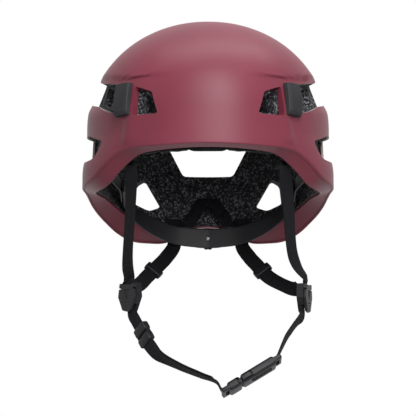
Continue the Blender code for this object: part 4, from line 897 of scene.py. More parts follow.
def raise_and_smooth(obj, angle, raised=True):
    """Puts a piece where the frame has it, and smooths it up to an angle."""
    if raised:
        obj.data.transform(Matrix.Translation((0, 0, LEVEL)))
    obj.data.shade_smooth()
    obj.data.set_sharp_from_angle(angle=math.radians(angle))


def finish_piece(obj, body, nodes=(), angle=35, raised=True):
    """Raises and smooths a piece and hands it to its body."""
    raise_and_smooth(obj, angle, raised)
    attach(obj, body)
    if nodes:
        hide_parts(*nodes)


# ---- Materials ----
def set_inputs(tree, node, inputs):
    """Sets a node's inputs to values or to other nodes' outputs."""
    for name, value in inputs.items():
        if isinstance(value, bpy.types.NodeSocket):
            tree.links.new(value, node.inputs[name])
        else:
            node.inputs[name].default_value = value


def add_node(tree, kind, inputs=None, **settings):
    """Adds a node with its settings, and its inputs as values or as other nodes' outputs."""
    made = tree.nodes.new(kind)
    for name, value in settings.items():
        setattr(made, name, value)
    set_inputs(tree, made, inputs or {})
    return made


def procedural(shade):
    """Turns a function that gives a shader's inputs into one that gives its material, made once."""
    def material():
        made = bpy.data.materials.get(shade.__name__)
        if made is None:
            made = bpy.data.materials.new(shade.__name__)
            made.use_nodes = True
            tree = made.node_tree
            place = add_node(tree, "ShaderNodeTexCoord").outputs["Object"]
            set_inputs(tree, tree.nodes["Principled BSDF"], shade(tree, place))
        return made
    return material


def rgba(colour, gain=1.0):
    """A colour made brighter or darker, with full alpha."""
    return (*(min(1.0, c * gain) for c in colour), 1.0)


def ramp(tree, factor, *stops):
    """A colour ramp through stops, each a position, a colour and its gain."""
    made = add_node(tree, "ShaderNodeValToRGB", {"Fac": factor})
    elements = made.color_ramp.elements
    while len(elements) < len(stops):
        elements.new(1.0)
    for element, (position, colour, gain) in zip(elements, stops):
        element.position = position
        element.color = rgba(colour, gain)
    return made.outputs["Color"]


def clouds(tree, place, scale, detail):
    """Noise from 0 to 1."""
    inputs = {"Vector": place, "Scale": scale, "Detail": detail}
    return add_node(tree, "ShaderNodeTexNoise", inputs).outputs["Fac"]


def cells(tree, place, scale, randomness, **settings):
    """Outputs of a field of cells."""
    inputs = {"Vector": place, "Scale": scale, "Randomness": randomness}
    return add_node(tree, "ShaderNodeTexVoronoi", inputs, **settings).outputs


def spread(tree, value, **ends):
    """A value carried from one range to another."""
    inputs = {"Value": value, **{end.replace("_", " "): at for end, at in ends.items()}}
    return add_node(tree, "ShaderNodeMapRange", inputs).outputs["Result"]


def result(tree, operation, *values):
    """The result of a mathematical operation."""
    inputs = dict(enumerate(values))
    return add_node(tree, "ShaderNodeMath", inputs, operation=operation).outputs[0]


def bump(tree, height, strength, distance):
    """A normal raised by a height."""
    inputs = {"Height": height, "Strength": strength, "Distance": distance}
    return add_node(tree, "ShaderNodeBump", inputs).outputs["Normal"]


@procedural
def satin_painted_shell(tree, place):
    """Satin paint over moulded plastic: a wide soft highlight with a faint orange peel in it."""
    colour = bpy.context.scene.helmet_colours.shell
    cloud = clouds(tree, place, 14, 3)
    base = ramp(tree, cloud, (0.35, colour, 0.93), (0.65, colour, 1.06))
    peel = clouds(tree, place, 620, 2)
    return {
        "Base Color": base, "Roughness": spread(tree, cloud, To_Min=0.40, To_Max=0.48),
        "Normal": bump(tree, peel, 0.10, 0.0002), "Specular IOR Level": 0.20,
    }


@procedural
def trimmed_plastic_and_edge_highlight(tree, place):
    """Bare plastic where the shell was trimmed: pale and matt, with fine marks of the cutter. On
    the vents' cut faces its paleness is partly a painted highlight.
    """
    colour = bpy.context.scene.helmet_colours.shell_edge_and_highlight
    marks = clouds(tree, place, 900, 4)
    return {
        "Base Color": ramp(tree, marks, (0.3, colour, 0.8), (0.7, colour, 1.1)),
        "Normal": bump(tree, marks, 0.35, 0.0002), "Roughness": 0.7,
    }


@procedural
def moulded_bead_foam(tree, place):
    """Moulded beads, each its own shade of black to grey, with a dimple where they meet."""
    colours = bpy.context.scene.helmet_colours
    scale = 1 / bpy.context.scene.helmet_sizes.bead
    beads = cells(tree, place, scale, 0.9)
    joints = cells(tree, place, scale, 0.9, feature="DISTANCE_TO_EDGE")
    shade = add_node(tree, "ShaderNodeSeparateColor", {"Color": beads["Color"]})
    base = ramp(
        tree, shade.outputs["Red"], (0.0, colours.foam, 0.8), (0.50, colours.foam, 2.8),
        (0.76, colours.foam_fleck, 0.48), (1.0, colours.foam_fleck, 1.3),
    )
    edge = spread(tree, joints["Distance"], From_Max=0.12, To_Min=0.25, To_Max=1.0)
    dark = add_node(
        tree, "ShaderNodeVectorMath", {0: base, "Scale": edge}, operation="SCALE"
    )
    return {
        "Base Color": dark.outputs["Vector"], "Normal": bump(tree, edge, 0.6, 0.0004),
        "Roughness": 0.8, "Specular IOR Level": 0.2,
    }


def spark_eroded(tree, place, colour, roughness, grain):
    """Nylon from a spark-eroded mould: an even fine grain that breaks up its sheen."""
    fine = clouds(tree, place, 2600, 3)
    wide = clouds(tree, place, 90, 2)
    base = ramp(tree, wide, (0.3, colour, 0.85), (0.7, colour, 1.15))
    rough = spread(tree, wide, To_Min=roughness - 0.06, To_Max=roughness + 0.06)
    return {
        "Base Color": base, "Roughness": rough, "Normal": bump(tree, fine, grain, 0.00015),
        "Specular IOR Level": 0.18,
    }


@procedural
def moulded_nylon(tree, place):
    """Black nylon with a low even sheen, for the headband and the straps' fittings."""
    return spark_eroded(tree, place, bpy.context.scene.helmet_colours.nylon, 0.46, 0.22)


@procedural
def matt_clip_nylon(tree, place):
    """Nylon with a coarser grain, so that the lamp clips look flat and dry."""
    return spark_eroded(tree, place, bpy.context.scene.helmet_colours.clip, 0.58, 0.3)


@procedural
def polished_nylon(tree, place):
    """Nylon from a polished mould, with a clear shine along the yoke."""
    return spark_eroded(tree, place, bpy.context.scene.helmet_colours.nylon, 0.28, 0.05)


@procedural
def woven_polyester_webbing(tree, place):
    """Flat woven polyester: ribs split by the warp, with painted shade in the weave's hollows and a
    painted highlight on each float.
    """
    scene = bpy.context.scene
    colour = scene.helmet_colours.webbing
    pitch = 2 * math.pi / scene.helmet_sizes.yarn
    weave = add_node(tree, "ShaderNodeUVMap", uv_map="weave").outputs["UV"]
    split = add_node(tree, "ShaderNodeSeparateXYZ", {"Vector": weave}).outputs
    lean = result(tree, "MULTIPLY", split["Y"], pitch * 0.9)
    fold = result(tree, "PINGPONG", lean, 4.0)
    turn = result(tree, "MULTIPLY_ADD", split["X"], pitch, fold)
    rib = result(tree, "SINE", turn)
    warp = result(tree, "SINE", lean)
    height = result(tree, "MULTIPLY_ADD", warp, 0.35, rib)
    level = spread(tree, height, From_Min=-1.35, From_Max=1.35)
    # The colour follows the weave's height: painted shade in its hollows and a painted highlight on
    # its floats.
    base = ramp(tree, level, (0.05, colour, 0.35), (0.55, colour, 1.0), (0.95, colour, 1.7))
    return {
        "Base Color": base, "Normal": bump(tree, level, 0.75, 0.00035), "Roughness": 0.85,
        "Specular IOR Level": 0.12,
    }


@procedural
def brushed_knit(tree, place):
    """Brushed knit over soft foam: a small even stitch under a soft bloom of fibre."""
    colour = bpy.context.scene.helmet_colours.pad
    stitch = cells(tree, place, 900, 0.35)["Distance"]
    fuzz = clouds(tree, place, 240, 5)
    base = ramp(tree, fuzz, (0.3, colour, 0.7), (0.7, colour, 1.5))
    return {
        "Base Color": base, "Normal": bump(tree, stitch, 0.5, 0.0004), "Roughness": 0.95,
        "Specular IOR Level": 0.15, "Sheen Weight": 0.1,
    }


@procedural
def twisted_sewing_thread(tree, place):
    """Twisted polyester thread, a little brighter than the webbing that it holds."""
    colour = bpy.context.scene.helmet_colours.webbing
    twist = add_node(tree, "ShaderNodeTexWave", {"Vector": place, "Scale": 900, "Distortion": 1.5})
    base = ramp(tree, twist.outputs["Fac"], (0.2, colour, 1.0), (0.8, colour, 2.4))
    return {"Base Color": base, "Roughness": 0.5}


@procedural
def turned_steel(tree, place):
    """Turned steel pins: bright, with fine rings from the lathe in their shine."""
    rings = clouds(tree, place, 1800, 2)
    return {
        "Roughness": spread(tree, rings, To_Min=0.22, To_Max=0.4),
        "Base Color": rgba(linear("#4c4a4f")), "Metallic": 1.0,
    }


# ---- Shell and foam ----
def dome_sheet(bm, depth_of, columns, rows, foot_of=wall_foot):
    """Half a sphere laid under the shell's surface, open at its foot. Returns its vertices."""
    made = bmesh.ops.create_uvsphere(
        bm, u_segments=columns, v_segments=2 * rows, radius=1
    )["verts"]
    kept = [v for v in made if v.co.z >= -0.001]
    bmesh.ops.delete(bm, geom=[v for v in made if v.co.z < -0.001], context="VERTS")
    for v in kept:
        share = min(1.0, math.acos(max(-1.0, min(1.0, v.co.z))) / (math.pi / 2))
        angle = math.atan2(v.co.x, -v.co.y) if share > 0.001 else 0.0
        turn = share * (math.pi / 2 - foot_of(angle, 0.0) / CROWN_HEIGHT)
        height = CROWN_HEIGHT * math.cos(turn) if turn < math.pi / 2 else (
            math.pi / 2 - turn
        ) * CROWN_HEIGHT
        v.co = dome_place(angle, share, depth_of(angle, share, height), foot_of)
    return kept


def rim_edges(bm, verts):
    """The open edges between some vertices."""
    inside = set(verts)
    return [e for e in bm.edges if e.is_boundary and set(e.verts) <= inside]


def carry_rim(bm, edges, place):
    """Extrudes an open rim to where a function of the angle puts it. Returns the new rim."""
    made = bmesh.ops.extrude_edge_only(bm, edges=edges)["geom"]
    verts = [g for g in made if isinstance(g, bmesh.types.BMVert)]
    for v in verts:
        v.co = place(math.atan2(v.co.x, -v.co.y))
    return rim_edges(bm, verts)


def shell_mesh(sizes):
    """Outer dome with its step and ridges, the face under its crease, lower edge and inner dome."""
    def outside(angle, share, height):
        relief = crown_step(angle, height, sizes.step_depth)
        relief += corner_ridge(angle, height, sizes.ridge_height)
        return edge_roll(angle, height) + crown_sink(angle, height) - relief

    def inside(angle, share, height):
        return SHELL_THICKNESS + edge_roll(angle, height) + crown_sink(angle, height)

    bm = bmesh.new()
    outer = dome_sheet(bm, outside, *SHELL_GRID)
    inner = dome_sheet(bm, inside, *SHELL_GRID)
    crease = rim_edges(bm, outer)
    lip_foot = carry_rim(bm, crease, lambda a: under_face(a, RIM_SHARE, 0.0))
    groove = carry_rim(bm, lip_foot, lambda a: under_face(a, RIM_SHARE + RIM_STEP, RIM_DEPTH))
    edge = carry_rim(bm, groove, lambda a: edge_place(a, 0, 0))
    lip = carry_rim(bm, edge, lambda a: edge_place(a, SHELL_THICKNESS, 0))
    bmesh.ops.bridge_loops(bm, edges=lip + rim_edges(bm, inner))
    bevel_edges(bm, crease, sizes.edge_round, 3)
    return mesh_of("outer_shell_skin", bm)


def heel_inset(angle):
    """How far in from the shell's lower edge the foam's foot reaches."""
    return max(foam_depth(1.0) - FIT_GAP - bevel_inset(angle), FOAM_HEEL)


def foam_mesh():
    """The foam between the shell and the head."""
    skin = SHELL_THICKNESS + FIT_GAP
    bm = bmesh.new()
    outer = dome_sheet(
        bm, lambda angle, share, height: skin + crown_sink(angle, height), *FOAM_GRID
    )
    inner = dome_sheet(bm, lambda angle, share, height: foam_depth(share), *FOAM_GRID, head_foot)
    for v in inner:
        angle = math.atan2(v.co.x, -v.co.y)
        heel = edge_place(angle, FOAM_EDGE_RISE, heel_inset(angle))
        most = heel.xy.length - FOAM_HEEL / 4 + (v.co.z - heel.z) * FOAM_HEEL_SLOPE
        if v.co.xy.length > most:
            v.co.xy *= most / v.co.xy.length
    lower = carry_rim(
        bm, rim_edges(bm, outer), lambda a: edge_place(a, skin + FIT_GAP, FIT_GAP)
    )
    foot = carry_rim(bm, lower, lambda a: edge_place(a, FOAM_EDGE_RISE, FIT_GAP))
    heel = carry_rim(bm, foot, lambda a: edge_place(a, FOAM_EDGE_RISE, heel_inset(a)))
    bmesh.ops.bridge_loops(bm, edges=heel + rim_edges(bm, inner))
    return mesh_of("foam_liner_block", bm)


def vent_block(bm, stations, side, out, depth, ledge=0.0, per_span=5):
    """A block through a vent, smooth along its edges. A ledge makes it smaller all round."""
    values = [[*low, *high] for low, high in stations]
    for end, inward in ((values[0], 1), (values[-1], -1)):
        for k in (0, 2):
            reach = surface_radius(math.radians(end[k]), end[k + 1])
            end[k] += inward * math.degrees(ledge / reach)
    sections = []
    for low_degrees, low, high_degrees, high in smooth_route(values, per_span):
        shrink = min(ledge, (high - low) / 4)
        ring = []
        for degrees, height in ((low_degrees, low + shrink), (high_degrees, high - shrink)):
            angle = side * math.radians(degrees)
            foot, normal = surface_at(angle, height), normal_at(angle, height)
            ring.append((foot + normal * out, foot - normal * depth))
        (low_out, low_in), (high_out, high_in) = ring
        sections.append([bm.verts.new(p) for p in (low_out, high_out, high_in, low_in)])
    loops = []
    for section in sections:
        loops.append([bm.edges.new((section[k], section[(k + 1) % 4])) for k in range(4)])
    for one, two in zip(loops, loops[1:]):
        bmesh.ops.bridge_loops(bm, edges=one + two)
    for loop in (loops[0], loops[-1]):
        bmesh.ops.edgeloop_fill(bm, edges=loop)
    corners = []
    for section in (sections[0], sections[-1]):
        corners += [bm.edges.get((section[0], section[3])), bm.edges.get((section[1], section[2]))]
    shortest = min(
        (section[k].co - section[k + 1].co).length
        for section in (sections[0], sections[-1]) for k in (0, 2)
    )
    bevel_edges(bm, corners, min(VENT_CORNER, 0.4 * shortest), 5)


def between(stations, first, last):
    """Stations of the part of a long vent between two directions."""
    lows = [low for low, high in stations]
    highs = [high for low, high in stations]
    return [
        ((degrees, read_curve(lows, degrees)), (degrees, read_curve(highs, degrees)))
        for degrees in (first, (first + last) / 2, last)
    ]


def window_block(bm, outline, ledge):
    """A block cut straight back through a window's outline, wider all round by a ledge."""
    middle = sum((Vector(p) for p in outline), Vector((0, 0))) / len(outline)
    wide = [Vector(p) + (Vector(p) - middle).normalized() * ledge for p in outline]
    first, last = WINDOW_SPAN
    place = facing((0, (first + last) / 2, 0), (1, 0, 0), (0, 0, 1))
    half = (last - first) / 2
    verts = slab(bm, wide, -half, half, place)
    inside = set(verts)
    corners = [
        e for e in bm.edges
        if set(e.verts) <= inside and abs(e.verts[0].co.y - e.verts[1].co.y) > half
    ]
    bevel_edges(bm, corners, WINDOW_CORNER, 5)


def mirrored(outline):
    """An outline's mirror image, taken the other way round."""
    return [(-x, z) for x, z in reversed(outline)]


def cutter_mesh(name, blocks):
    """One cutting mesh from blocks, each a function and its arguments."""
    bm = bmesh.new()
    for make, *arguments in blocks:
        make(bm, *arguments)
    return mesh_of(name, bm)


def window_blocks(ledge):
    """Cutting blocks of the rear and side windows, wider all round by a ledge."""
    return [
        (window_block, REAR_WINDOW, ledge), (window_block, SIDE_WINDOW, ledge),
        (window_block, mirrored(SIDE_WINDOW), ledge),
    ]


class HELMET_OT_shell(bpy.types.Operator):
    """Make the hard shell, its vents and the walls of its front vents"""

    bl_idname = "helmet.shell"
    bl_label = "Shell"
    bl_options = {"REGISTER", "UNDO"}

    def execute(self, context):
        paint, bare_and_highlit = satin_painted_shell(), trimmed_plastic_and_edge_highlight()
        shell = stand_in("outer_shell_skin", shell_mesh(context.scene.helmet_sizes), paint)
        open_cuts, painted_cuts = [], []
        for side in SIDES.values():
            painted_cuts.append((vent_block, FRONT_VENT, side, VENT_OUT, VENT_IN))
            for stations in (UPPER_VENT, LOWER_VENT, REAR_TOP_VENT):
                open_cuts.append((vent_block, stations, side, VENT_OUT, VENT_IN))
        painted_cuts += window_blocks(WINDOW_LEDGE)
        # The upper, lower and rear vents' cut faces take the pale trimmed colour, partly a painted
        # highlight on their edges.
        carve(
            shell, (cutter_mesh("bare_and_highlit_cuts", open_cuts), bare_and_highlit),
            (cutter_mesh("painted_cuts", painted_cuts), paint),
        )
        round_edges(shell, 0.0005, 2, 40)
        finish_piece(shell, "root", ("outer_shell",), 40)
        for word, side in SIDES.items():
            bm = bmesh.new()
            vent_block(bm, FRONT_VENT, side, -FLANK_SINK, FLANK_DEPTH, -FLANK_THICKNESS)
            wall = piece_from(f"vent_wall_{word}", bm, paint)
            hole = cutter_mesh(
                "vent_wall_hole", [(vent_block, FRONT_VENT, side, VENT_OUT, VENT_IN, 0.0)]
            )
            carve(wall, (hole, paint))
            finish_piece(wall, "root", (), 40)
        return {"FINISHED"}


class HELMET_OT_foam(bpy.types.Operator):
    """Make the foam liner with its windows and recesses"""

    bl_idname = "helmet.foam"
    bl_label = "Foam liner"
    bl_options = {"REGISTER", "UNDO"}

    def execute(self, context):
        beads = moulded_bead_foam()
        foam = stand_in("foam_liner_block", foam_mesh(), beads)
        shallow, deep = [], []
        for side in SIDES.values():
            shallow += [
                (vent_block, UPPER_VENT, side, VENT_OUT, UPPER_RECESS),
                (vent_block, LOWER_VENT, side, VENT_OUT, LOWER_RECESS),
                (vent_block, FRONT_VENT, side, VENT_OUT, FRONT_RECESS, -FRONT_RECESS_ROOM),
            ]
            for stations in (FRONT_VENT, FOAM_LOWER_VENT, REAR_TOP_VENT):
                deep.append((vent_block, stations, side, VENT_OUT, FOAM_CUT_IN, FOAM_LEDGE))
            for first, last in FOAM_WINDOWS:
                part = between(UPPER_VENT, first, last)
                deep.append((vent_block, part, side, VENT_OUT, FOAM_CUT_IN, FOAM_LEDGE))
        deep += window_blocks(0.0)
        carve(
            foam, (cutter_mesh("recesses", shallow), beads), (cutter_mesh("windows", deep), beads),
        )
        round_edges(foam, 0.0007, 2, 40)
        finish_piece(foam, "root", ("foam_liner",), 40)
        return {"FINISHED"}


# ---- Pads ----
def swell(obj, cap):
    """Swells a pad with a short pressure simulation, and caps how far its skin may move."""
    remesh = obj.modifiers.new("voxels", "REMESH")
    remesh.mode = "VOXEL"
    remesh.voxel_size = PAD_VOXEL
    apply_modifiers(obj)
    rest = [v.co - v.normal * PAD_INSET for v in obj.data.vertices]
    for v, place in zip(obj.data.vertices, rest):
        v.co = place
    cloth = obj.modifiers.new("cloth", "CLOTH")
    cloth.settings.use_pressure = True
    cloth.settings.uniform_pressure_force = PAD_PRESSURE
    cloth.settings.effector_weights.gravity = 0
    cloth.point_cache.frame_start = 1
    cloth.point_cache.frame_end = PAD_FRAMES
    for step in range(1, PAD_FRAMES + 1):
        bpy.context.scene.frame_set(step)
    apply_modifiers(obj)
    for v, start in zip(obj.data.vertices, rest):
        move = v.co - start
        if move.length > cap:
            v.co = start + move.normalized() * cap
    bpy.context.scene.frame_set(1)
    finer = obj.modifiers.new("finer", "SUBSURF")
    finer.levels = finer.render_levels = 1
    apply_modifiers(obj)


def sew_channels(obj, channels):
    """Draws the skin in along sewn channels, each a function of a point giving its distance."""
    for v in obj.data.vertices:
        away = min(channel(v.co) for channel in channels)
        v.co -= v.normal * CHANNEL_DEPTH * ease(1 - away / CHANNEL_WIDTH)


def ray_distance(degrees):
    """Distance from the upright plane that runs out from the middle in a direction."""
    turn = math.radians(degrees)
    across = Vector((math.cos(turn), math.sin(turn), 0))
    outward = Vector((math.sin(turn), -math.cos(turn), 0))
    return lambda p: abs(p.dot(across)) if p.dot(outward) > 0 else 1.0


class HELMET_OT_pads(bpy.types.Operator):
    """Make the brow, side and crown pads as swollen, sewn cushions"""

    bl_idname = "helmet.pads"
    bl_label = "Pads"
    bl_options = {"REGISTER", "UNDO"}

    def execute(self, context):
        knit = brushed_knit()
        channels = {
            "brow_pad": [ray_distance(degrees) for degrees in BROW_CHANNELS],
            "side_pad_left": [ray_distance(SIDE_CHANNEL)],
            "side_pad_right": [ray_distance(-SIDE_CHANNEL)],
            "crown_pad": [
                lambda p: abs(math.hypot(p.x, p.y) - CROWN_RING),
                lambda p: abs(p.x) + CROWN_SEAM,
            ],
        }
        for node, lines in channels.items():
            bm = bmesh.new()
            bm.from_mesh(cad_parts[node].data)
            pad = piece_from(f"{node}_cushion", bm, knit)
            swell(pad, context.scene.helmet_sizes.pad_swell)
            sew_channels(pad, lines)
            pad.data.materials.clear()
            pad.data.materials.append(knit)
            finish_piece(pad, "root", (node,), 180, raised=False)
        return {"FINISHED"}


# ---- Headband ----
def band_route():
    """The nape band's route from its right wing round the back to its left wing."""
    half = smooth_route(BAND_ROUTE, BAND_STEPS)
    return [(-x, y, z, w) for x, y, z, w in half] + half[-2::-1]


def band_piece(name, route, lift):
    """A moulded band along a route of points and widths, its thickness off to one side."""
    def section(i):
        shape = oval(route[i][3] / 2, BAND_THICKNESS / 2, SECTION_POINTS, BAND_POWERS)
        return [(x, z + lift * BAND_THICKNESS / 2) for x, z in shape]

    bm = bmesh.new()
    swept(bm, [Vector(p[:3]) for p in route], [Vector((0, 0, 1))] * len(route), section)
    return piece_from(name, bm, moulded_nylon())


class HELMET_OT_headband(bpy.types.Operator):
    """Make the nape band, the arms to the temples and the yoke"""

    bl_idname = "helmet.headband"
    bl_label = "Headband"
    bl_options = {"REGISTER", "UNDO"}

    def execute(self, context):
        band = band_piece("nape_band_moulding", band_route(), -1)
        finish_piece(band, "nape_cradle", ("nape_band",), 50)
        x_wing, y_wing, z_wing = BAND_ROUTE[0][:3]
        x_arm = x_wing + BAND_THICKNESS + BAND_GAP
        slope = (BAND_ROUTE[1][2] - z_wing) / (BAND_ROUTE[1][1] - y_wing)
        points = [
            (x_arm, ARM_REAR_Y, z_wing + slope * (ARM_REAR_Y - y_wing), ARM_WIDTH),
            (x_arm, y_wing, z_wing, ARM_WIDTH),
            (
                (x_arm + TEMPLE_X) / 2 + ARM_BOW[0], (y_wing + TEMPLE_Y) / 2, z_wing + ARM_BOW[1],
                ARM_WIDTH + ARM_BOW[0],
            ),
            (TEMPLE_X, TEMPLE_Y, TEMPLE_Z, TEMPLE_WIDTH),
            (
                TEMPLE_X + ARM_TIP[0], TEMPLE_Y + ARM_TIP[1], TEMPLE_Z + ARM_TIP[2],
                TEMPLE_WIDTH * ARM_TIP[3],
            ),
        ]
        for word, side in SIDES.items():
            route = [(side * x, y, z, w) for x, y, z, w in smooth_route(points, BAND_STEPS)]
            arm = band_piece(f"headband_arm_{word}_moulding", route, -side)
            finish_piece(arm, "root", (f"headband_arm_{word}",), 50)
        self.make_yoke()
        return {"FINISHED"}

    def make_yoke(self):
        """The inverted V that ties the nape band up to the foam."""
        share = inner_share(math.pi, YOKE_TOP_Z)
        inner = under_surface(math.pi, YOKE_TOP_Z, foam_depth(share))
        top = Vector((0, inner.y - YOKE_GAP - YOKE_THICKNESS, YOKE_TOP_Z))
        y, z, width = BAND_ROUTE[-1][1:]
        foot = Vector((0, y + BAND_THICKNESS / 2, z + width / 2 + YOKE_FOOT_GAP))
        up = (top - foot).normalized()
        height = (top - foot).length
        half = [
            (YOKE_FOOT_IN, 0.0), (YOKE_FOOT_OUT, YOKE_RISE),
            (YOKE_TOP_HALF_WIDTH + YOKE_SHOULDER[0], height - YOKE_SHOULDER[1]),
            (YOKE_TOP_HALF_WIDTH - YOKE_CHAMFER, height),
        ]
        outline = half + mirrored(half) + [(0.0, (YOKE_CROTCH_Z - foot.z) / up.z)]
        yoke = slab_piece(
            "headband_yoke_moulding", polished_nylon(), outline, -YOKE_THICKNESS / 2,
            YOKE_THICKNESS / 2, facing(foot, (1, 0, 0), up),
        )
        round_edges(yoke, 0.0006, 3)
        apply_modifiers(yoke)
        raise_and_smooth(yoke, 35)
        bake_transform(yoke)
        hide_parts("headband_yoke")


class HELMET_OT_dial(bpy.types.Operator):
    """Make the size dial and its cover"""

    bl_idname = "helmet.dial"
    bl_label = "Size dial"
    bl_options = {"REGISTER", "UNDO"}

    def execute(self, context):
        plastic = moulded_nylon()
        y, z = BAND_ROUTE[-1][1:3]
        behind = Matrix.Rotation(math.radians(-90), 4, "X")
        place = Matrix.Translation((0, y + BAND_THICKNESS + COVER_GAP, z)) @ behind
        outline = oval(COVER_HALF_WIDTH, COVER_HALF_HEIGHT, COVER_SIDES, COVER_POWERS, 0)
        cover = slab_piece("dial_cover_moulding", plastic, outline, 0.0, COVER_THICKNESS, place)
        round_edges(cover, 0.0012, 4)
        finish_piece(cover, "nape_cradle", ("dial_cover",))

        bm = bmesh.new()
        bmesh.ops.create_cone(
            bm, cap_ends=True, segments=DIAL_GRIPS * DIAL_GRIP_SIDES, radius1=DIAL_RADIUS,
            radius2=DIAL_RADIUS * DIAL_DRAFT, depth=DIAL_THICKNESS,
        )
        for v in bm.verts:
            wave = math.cos(math.atan2(v.co.y, v.co.x) * DIAL_GRIPS)
            pull = 1 - DIAL_WAVE * (1 - wave)
            v.co.x *= pull
            v.co.y *= pull
        caps = [f for f in bm.faces if len(f.verts) > 4]
        bmesh.ops.inset_region(bm, faces=caps, thickness=DIAL_RIM, depth=0.0)
        bmesh.ops.inset_region(bm, faces=caps, thickness=DIAL_LIP, depth=-DIAL_DISH)
        middle = COVER_THICKNESS + DIAL_GAP + DIAL_THICKNESS / 2
        bmesh.ops.translate(bm, verts=bm.verts, vec=(0, 0, middle))
        bmesh.ops.transform(bm, matrix=place, verts=bm.verts)
        knob = piece_from("size_dial_knob", bm, plastic)
        round_edges(knob, 0.0005, 3, 50)
        finish_piece(knob, "dial", ("size_dial",))
        return {"FINISHED"}


# ---- Lamp clips ----
class HELMET_OT_clips(bpy.types.Operator):
    """Make the two front lamp clips and the one at the back"""

    bl_idname = "helmet.clips"
    bl_label = "Lamp clips"
    bl_options = {"REGISTER", "UNDO"}

    def execute(self, context):
        plastic = matt_clip_nylon()
        for word, side in SIDES.items():
            self.make_front(word, side, plastic)
        normal, middle = normal_at(math.pi, REAR_CLIP_Z), surface_at(math.pi, REAR_CLIP_Z)
        h, foot = REAR_CLIP_HALF_HEIGHT, REAR_CLIP_FOOT
        gap, slot, wall = REAR_CLIP_GAP, REAR_CLIP_SLOT, REAR_CLIP_THICKNESS
        low, high = REAR_CLIP_CHAMFERS
        heel, hook = gap + REAR_CLIP_HEEL, REAR_CLIP_HOOK
        outline = [
            (-h, gap), (-h, slot + wall * 0.6), (-h + low, slot + wall), (h - high, slot + wall),
            (h, slot), (h, heel), (h - wall, heel), (h - wall, slot - hook),
            (h - wall - hook, slot), (-h + foot, slot), (-h + foot, gap),
        ]
        clip = slab_piece(
            "rear_lamp_clip_moulding", plastic, outline, -REAR_CLIP_WIDTH / 2,
            REAR_CLIP_WIDTH / 2, facing(middle, normal.cross(Vector((1, 0, 0))), normal),
        )
        round_edges(clip, 0.0007, 3, 25)
        finish_piece(clip, "rear_clip", ("rear_lamp_clip",))
        return {"FINISHED"}

    def make_front(self, word, side, plastic):
        """A clip that stands off the shell, its crest near the side toward the brow."""
        first, last = CLIP_ANGLES
        low, high = CLIP_HEIGHTS
        bm = bmesh.new()
        bmesh.ops.create_grid(bm, x_segments=20, y_segments=24, size=1)
        copied = bmesh.ops.duplicate(bm, geom=bm.verts[:] + bm.edges[:] + bm.faces[:])["geom"]
        outer = {g for g in copied if isinstance(g, bmesh.types.BMVert)}
        for v in bm.verts:
            u, w = (v.co.x + 1) / 2, (v.co.y + 1) / 2
            draft = Vector((0.5 - u, 0.5 - w)) * (CLIP_DRAFT if v in outer else 0.0)
            angle = side * (math.radians(first + (last - first) * u) + draft.x / HALF_WIDTH)
            height = low + (high - low) * w + draft.y
            lift = CLIP_GAP
            if v in outer:
                crest = min(u / CLIP_CREST, 1.0) - CLIP_FALL * max(0.0, u - CLIP_CREST)
                foot = CLIP_FOOT[0] * ease(1 - w / CLIP_FOOT[1])
                lift += CLIP_THICKNESS + CLIP_RIDGE * crest - foot
            v.co = under_surface(angle, height, -lift)
        bmesh.ops.bridge_loops(bm, edges=[e for e in bm.edges if e.is_boundary])
        clip = piece_from(f"front_lamp_clip_{word}_moulding", bm, plastic)
        round_edges(clip, 0.0006, 3, 30)
        finish_piece(clip, f"front_clip_{word}", (f"front_lamp_clip_{word}",), 30)


# ---- Straps ----
def divider_place(word):
    """Placement of a divider: X across it, Y up, Z out of its face."""
    turn = math.radians(DIVIDER_TURNS[word])
    face = Vector((math.sin(turn), -math.cos(turn), 0))
    return facing(DIVIDER_CENTRES[word], Vector((0, 0, 1)).cross(face), (0, 0, 1))


def layer_height(layer):
    """Middle of a strap layer inside a divider, over the back of its base."""
    return DIVIDER_BASE + STRAP_GAP + WEBBING_THICKNESS / 2 + layer * (
        WEBBING_THICKNESS + STRAP_GAP
    )


def divider_depth():
    """Thickness of a divider from its back to the face of its lever."""
    return layer_height(1) + WEBBING_THICKNESS / 2 + LEVER_GAP + LEVER_THICKNESS


def in_divider(word, x, y, layer):
    """Point of a strap layer inside a divider."""
    return divider_place(word) @ Vector((x, y, layer_height(layer) - divider_depth() / 2))


def behind_divider(word):
    """Stops of a rear strap where it is sewn behind its divider's base."""
    place = divider_place(word)
    side = SIDES[word]
    z = -divider_depth() / 2 - STRAP_GAP - WEBBING_THICKNESS / 2
    slant = place.to_3x3() @ Vector((-side * REAR_SLANT[0], REAR_SLANT[1], 0))
    return [(place @ Vector((side * x, y, z - drop)), slant) for x, y, drop in REAR_SEWN]


def anchor_stop(word, end, drop):
    """Where a strap leaves its anchor, and its cross direction there."""
    degrees, height = FRONT_ANCHOR if end == "front" else REAR_ANCHOR
    angle = math.radians(degrees) * SIDES[word]
    inset = ANCHOR_GAP + ANCHOR_THICKNESS + ANCHOR_CLEARANCE + WEBBING_THICKNESS / 2
    normal = normal_at(angle, height)
    up = (Vector((0, 0, 1)) - normal * normal.z).normalized()
    inner = foam_depth(inner_share(angle, height))
    return under_surface(angle, height, inner + inset) - up * drop, up.cross(normal)


def strap_route(stops):
    """Spine and cross directions of a flat strap along stops, each a point and its direction."""
    route = smooth_route([tuple(point) + tuple(across) for point, across in stops], ROUTE_STEPS)
    return [Vector(v[:3]) for v in route], [Vector(v[3:]) for v in route]


def even_steps(spine, across, step):
    """A spine and its cross directions at even steps along it."""
    reach = [0.0]
    for one, two in zip(spine, spine[1:]):
        reach.append(reach[-1] + (two - one).length)
    count = max(2, round(reach[-1] / step))
    points, sides, k = [], [], 0
    for i in range(count + 1):
        goal = reach[-1] * i / count
        while k < len(reach) - 2 and reach[k + 1] < goal:
            k += 1
        t = (goal - reach[k]) / max(1e-9, reach[k + 1] - reach[k])
        points.append(spine[k].lerp(spine[k + 1], t))
        sides.append(across[k].lerp(across[k + 1], t))
    return points, sides


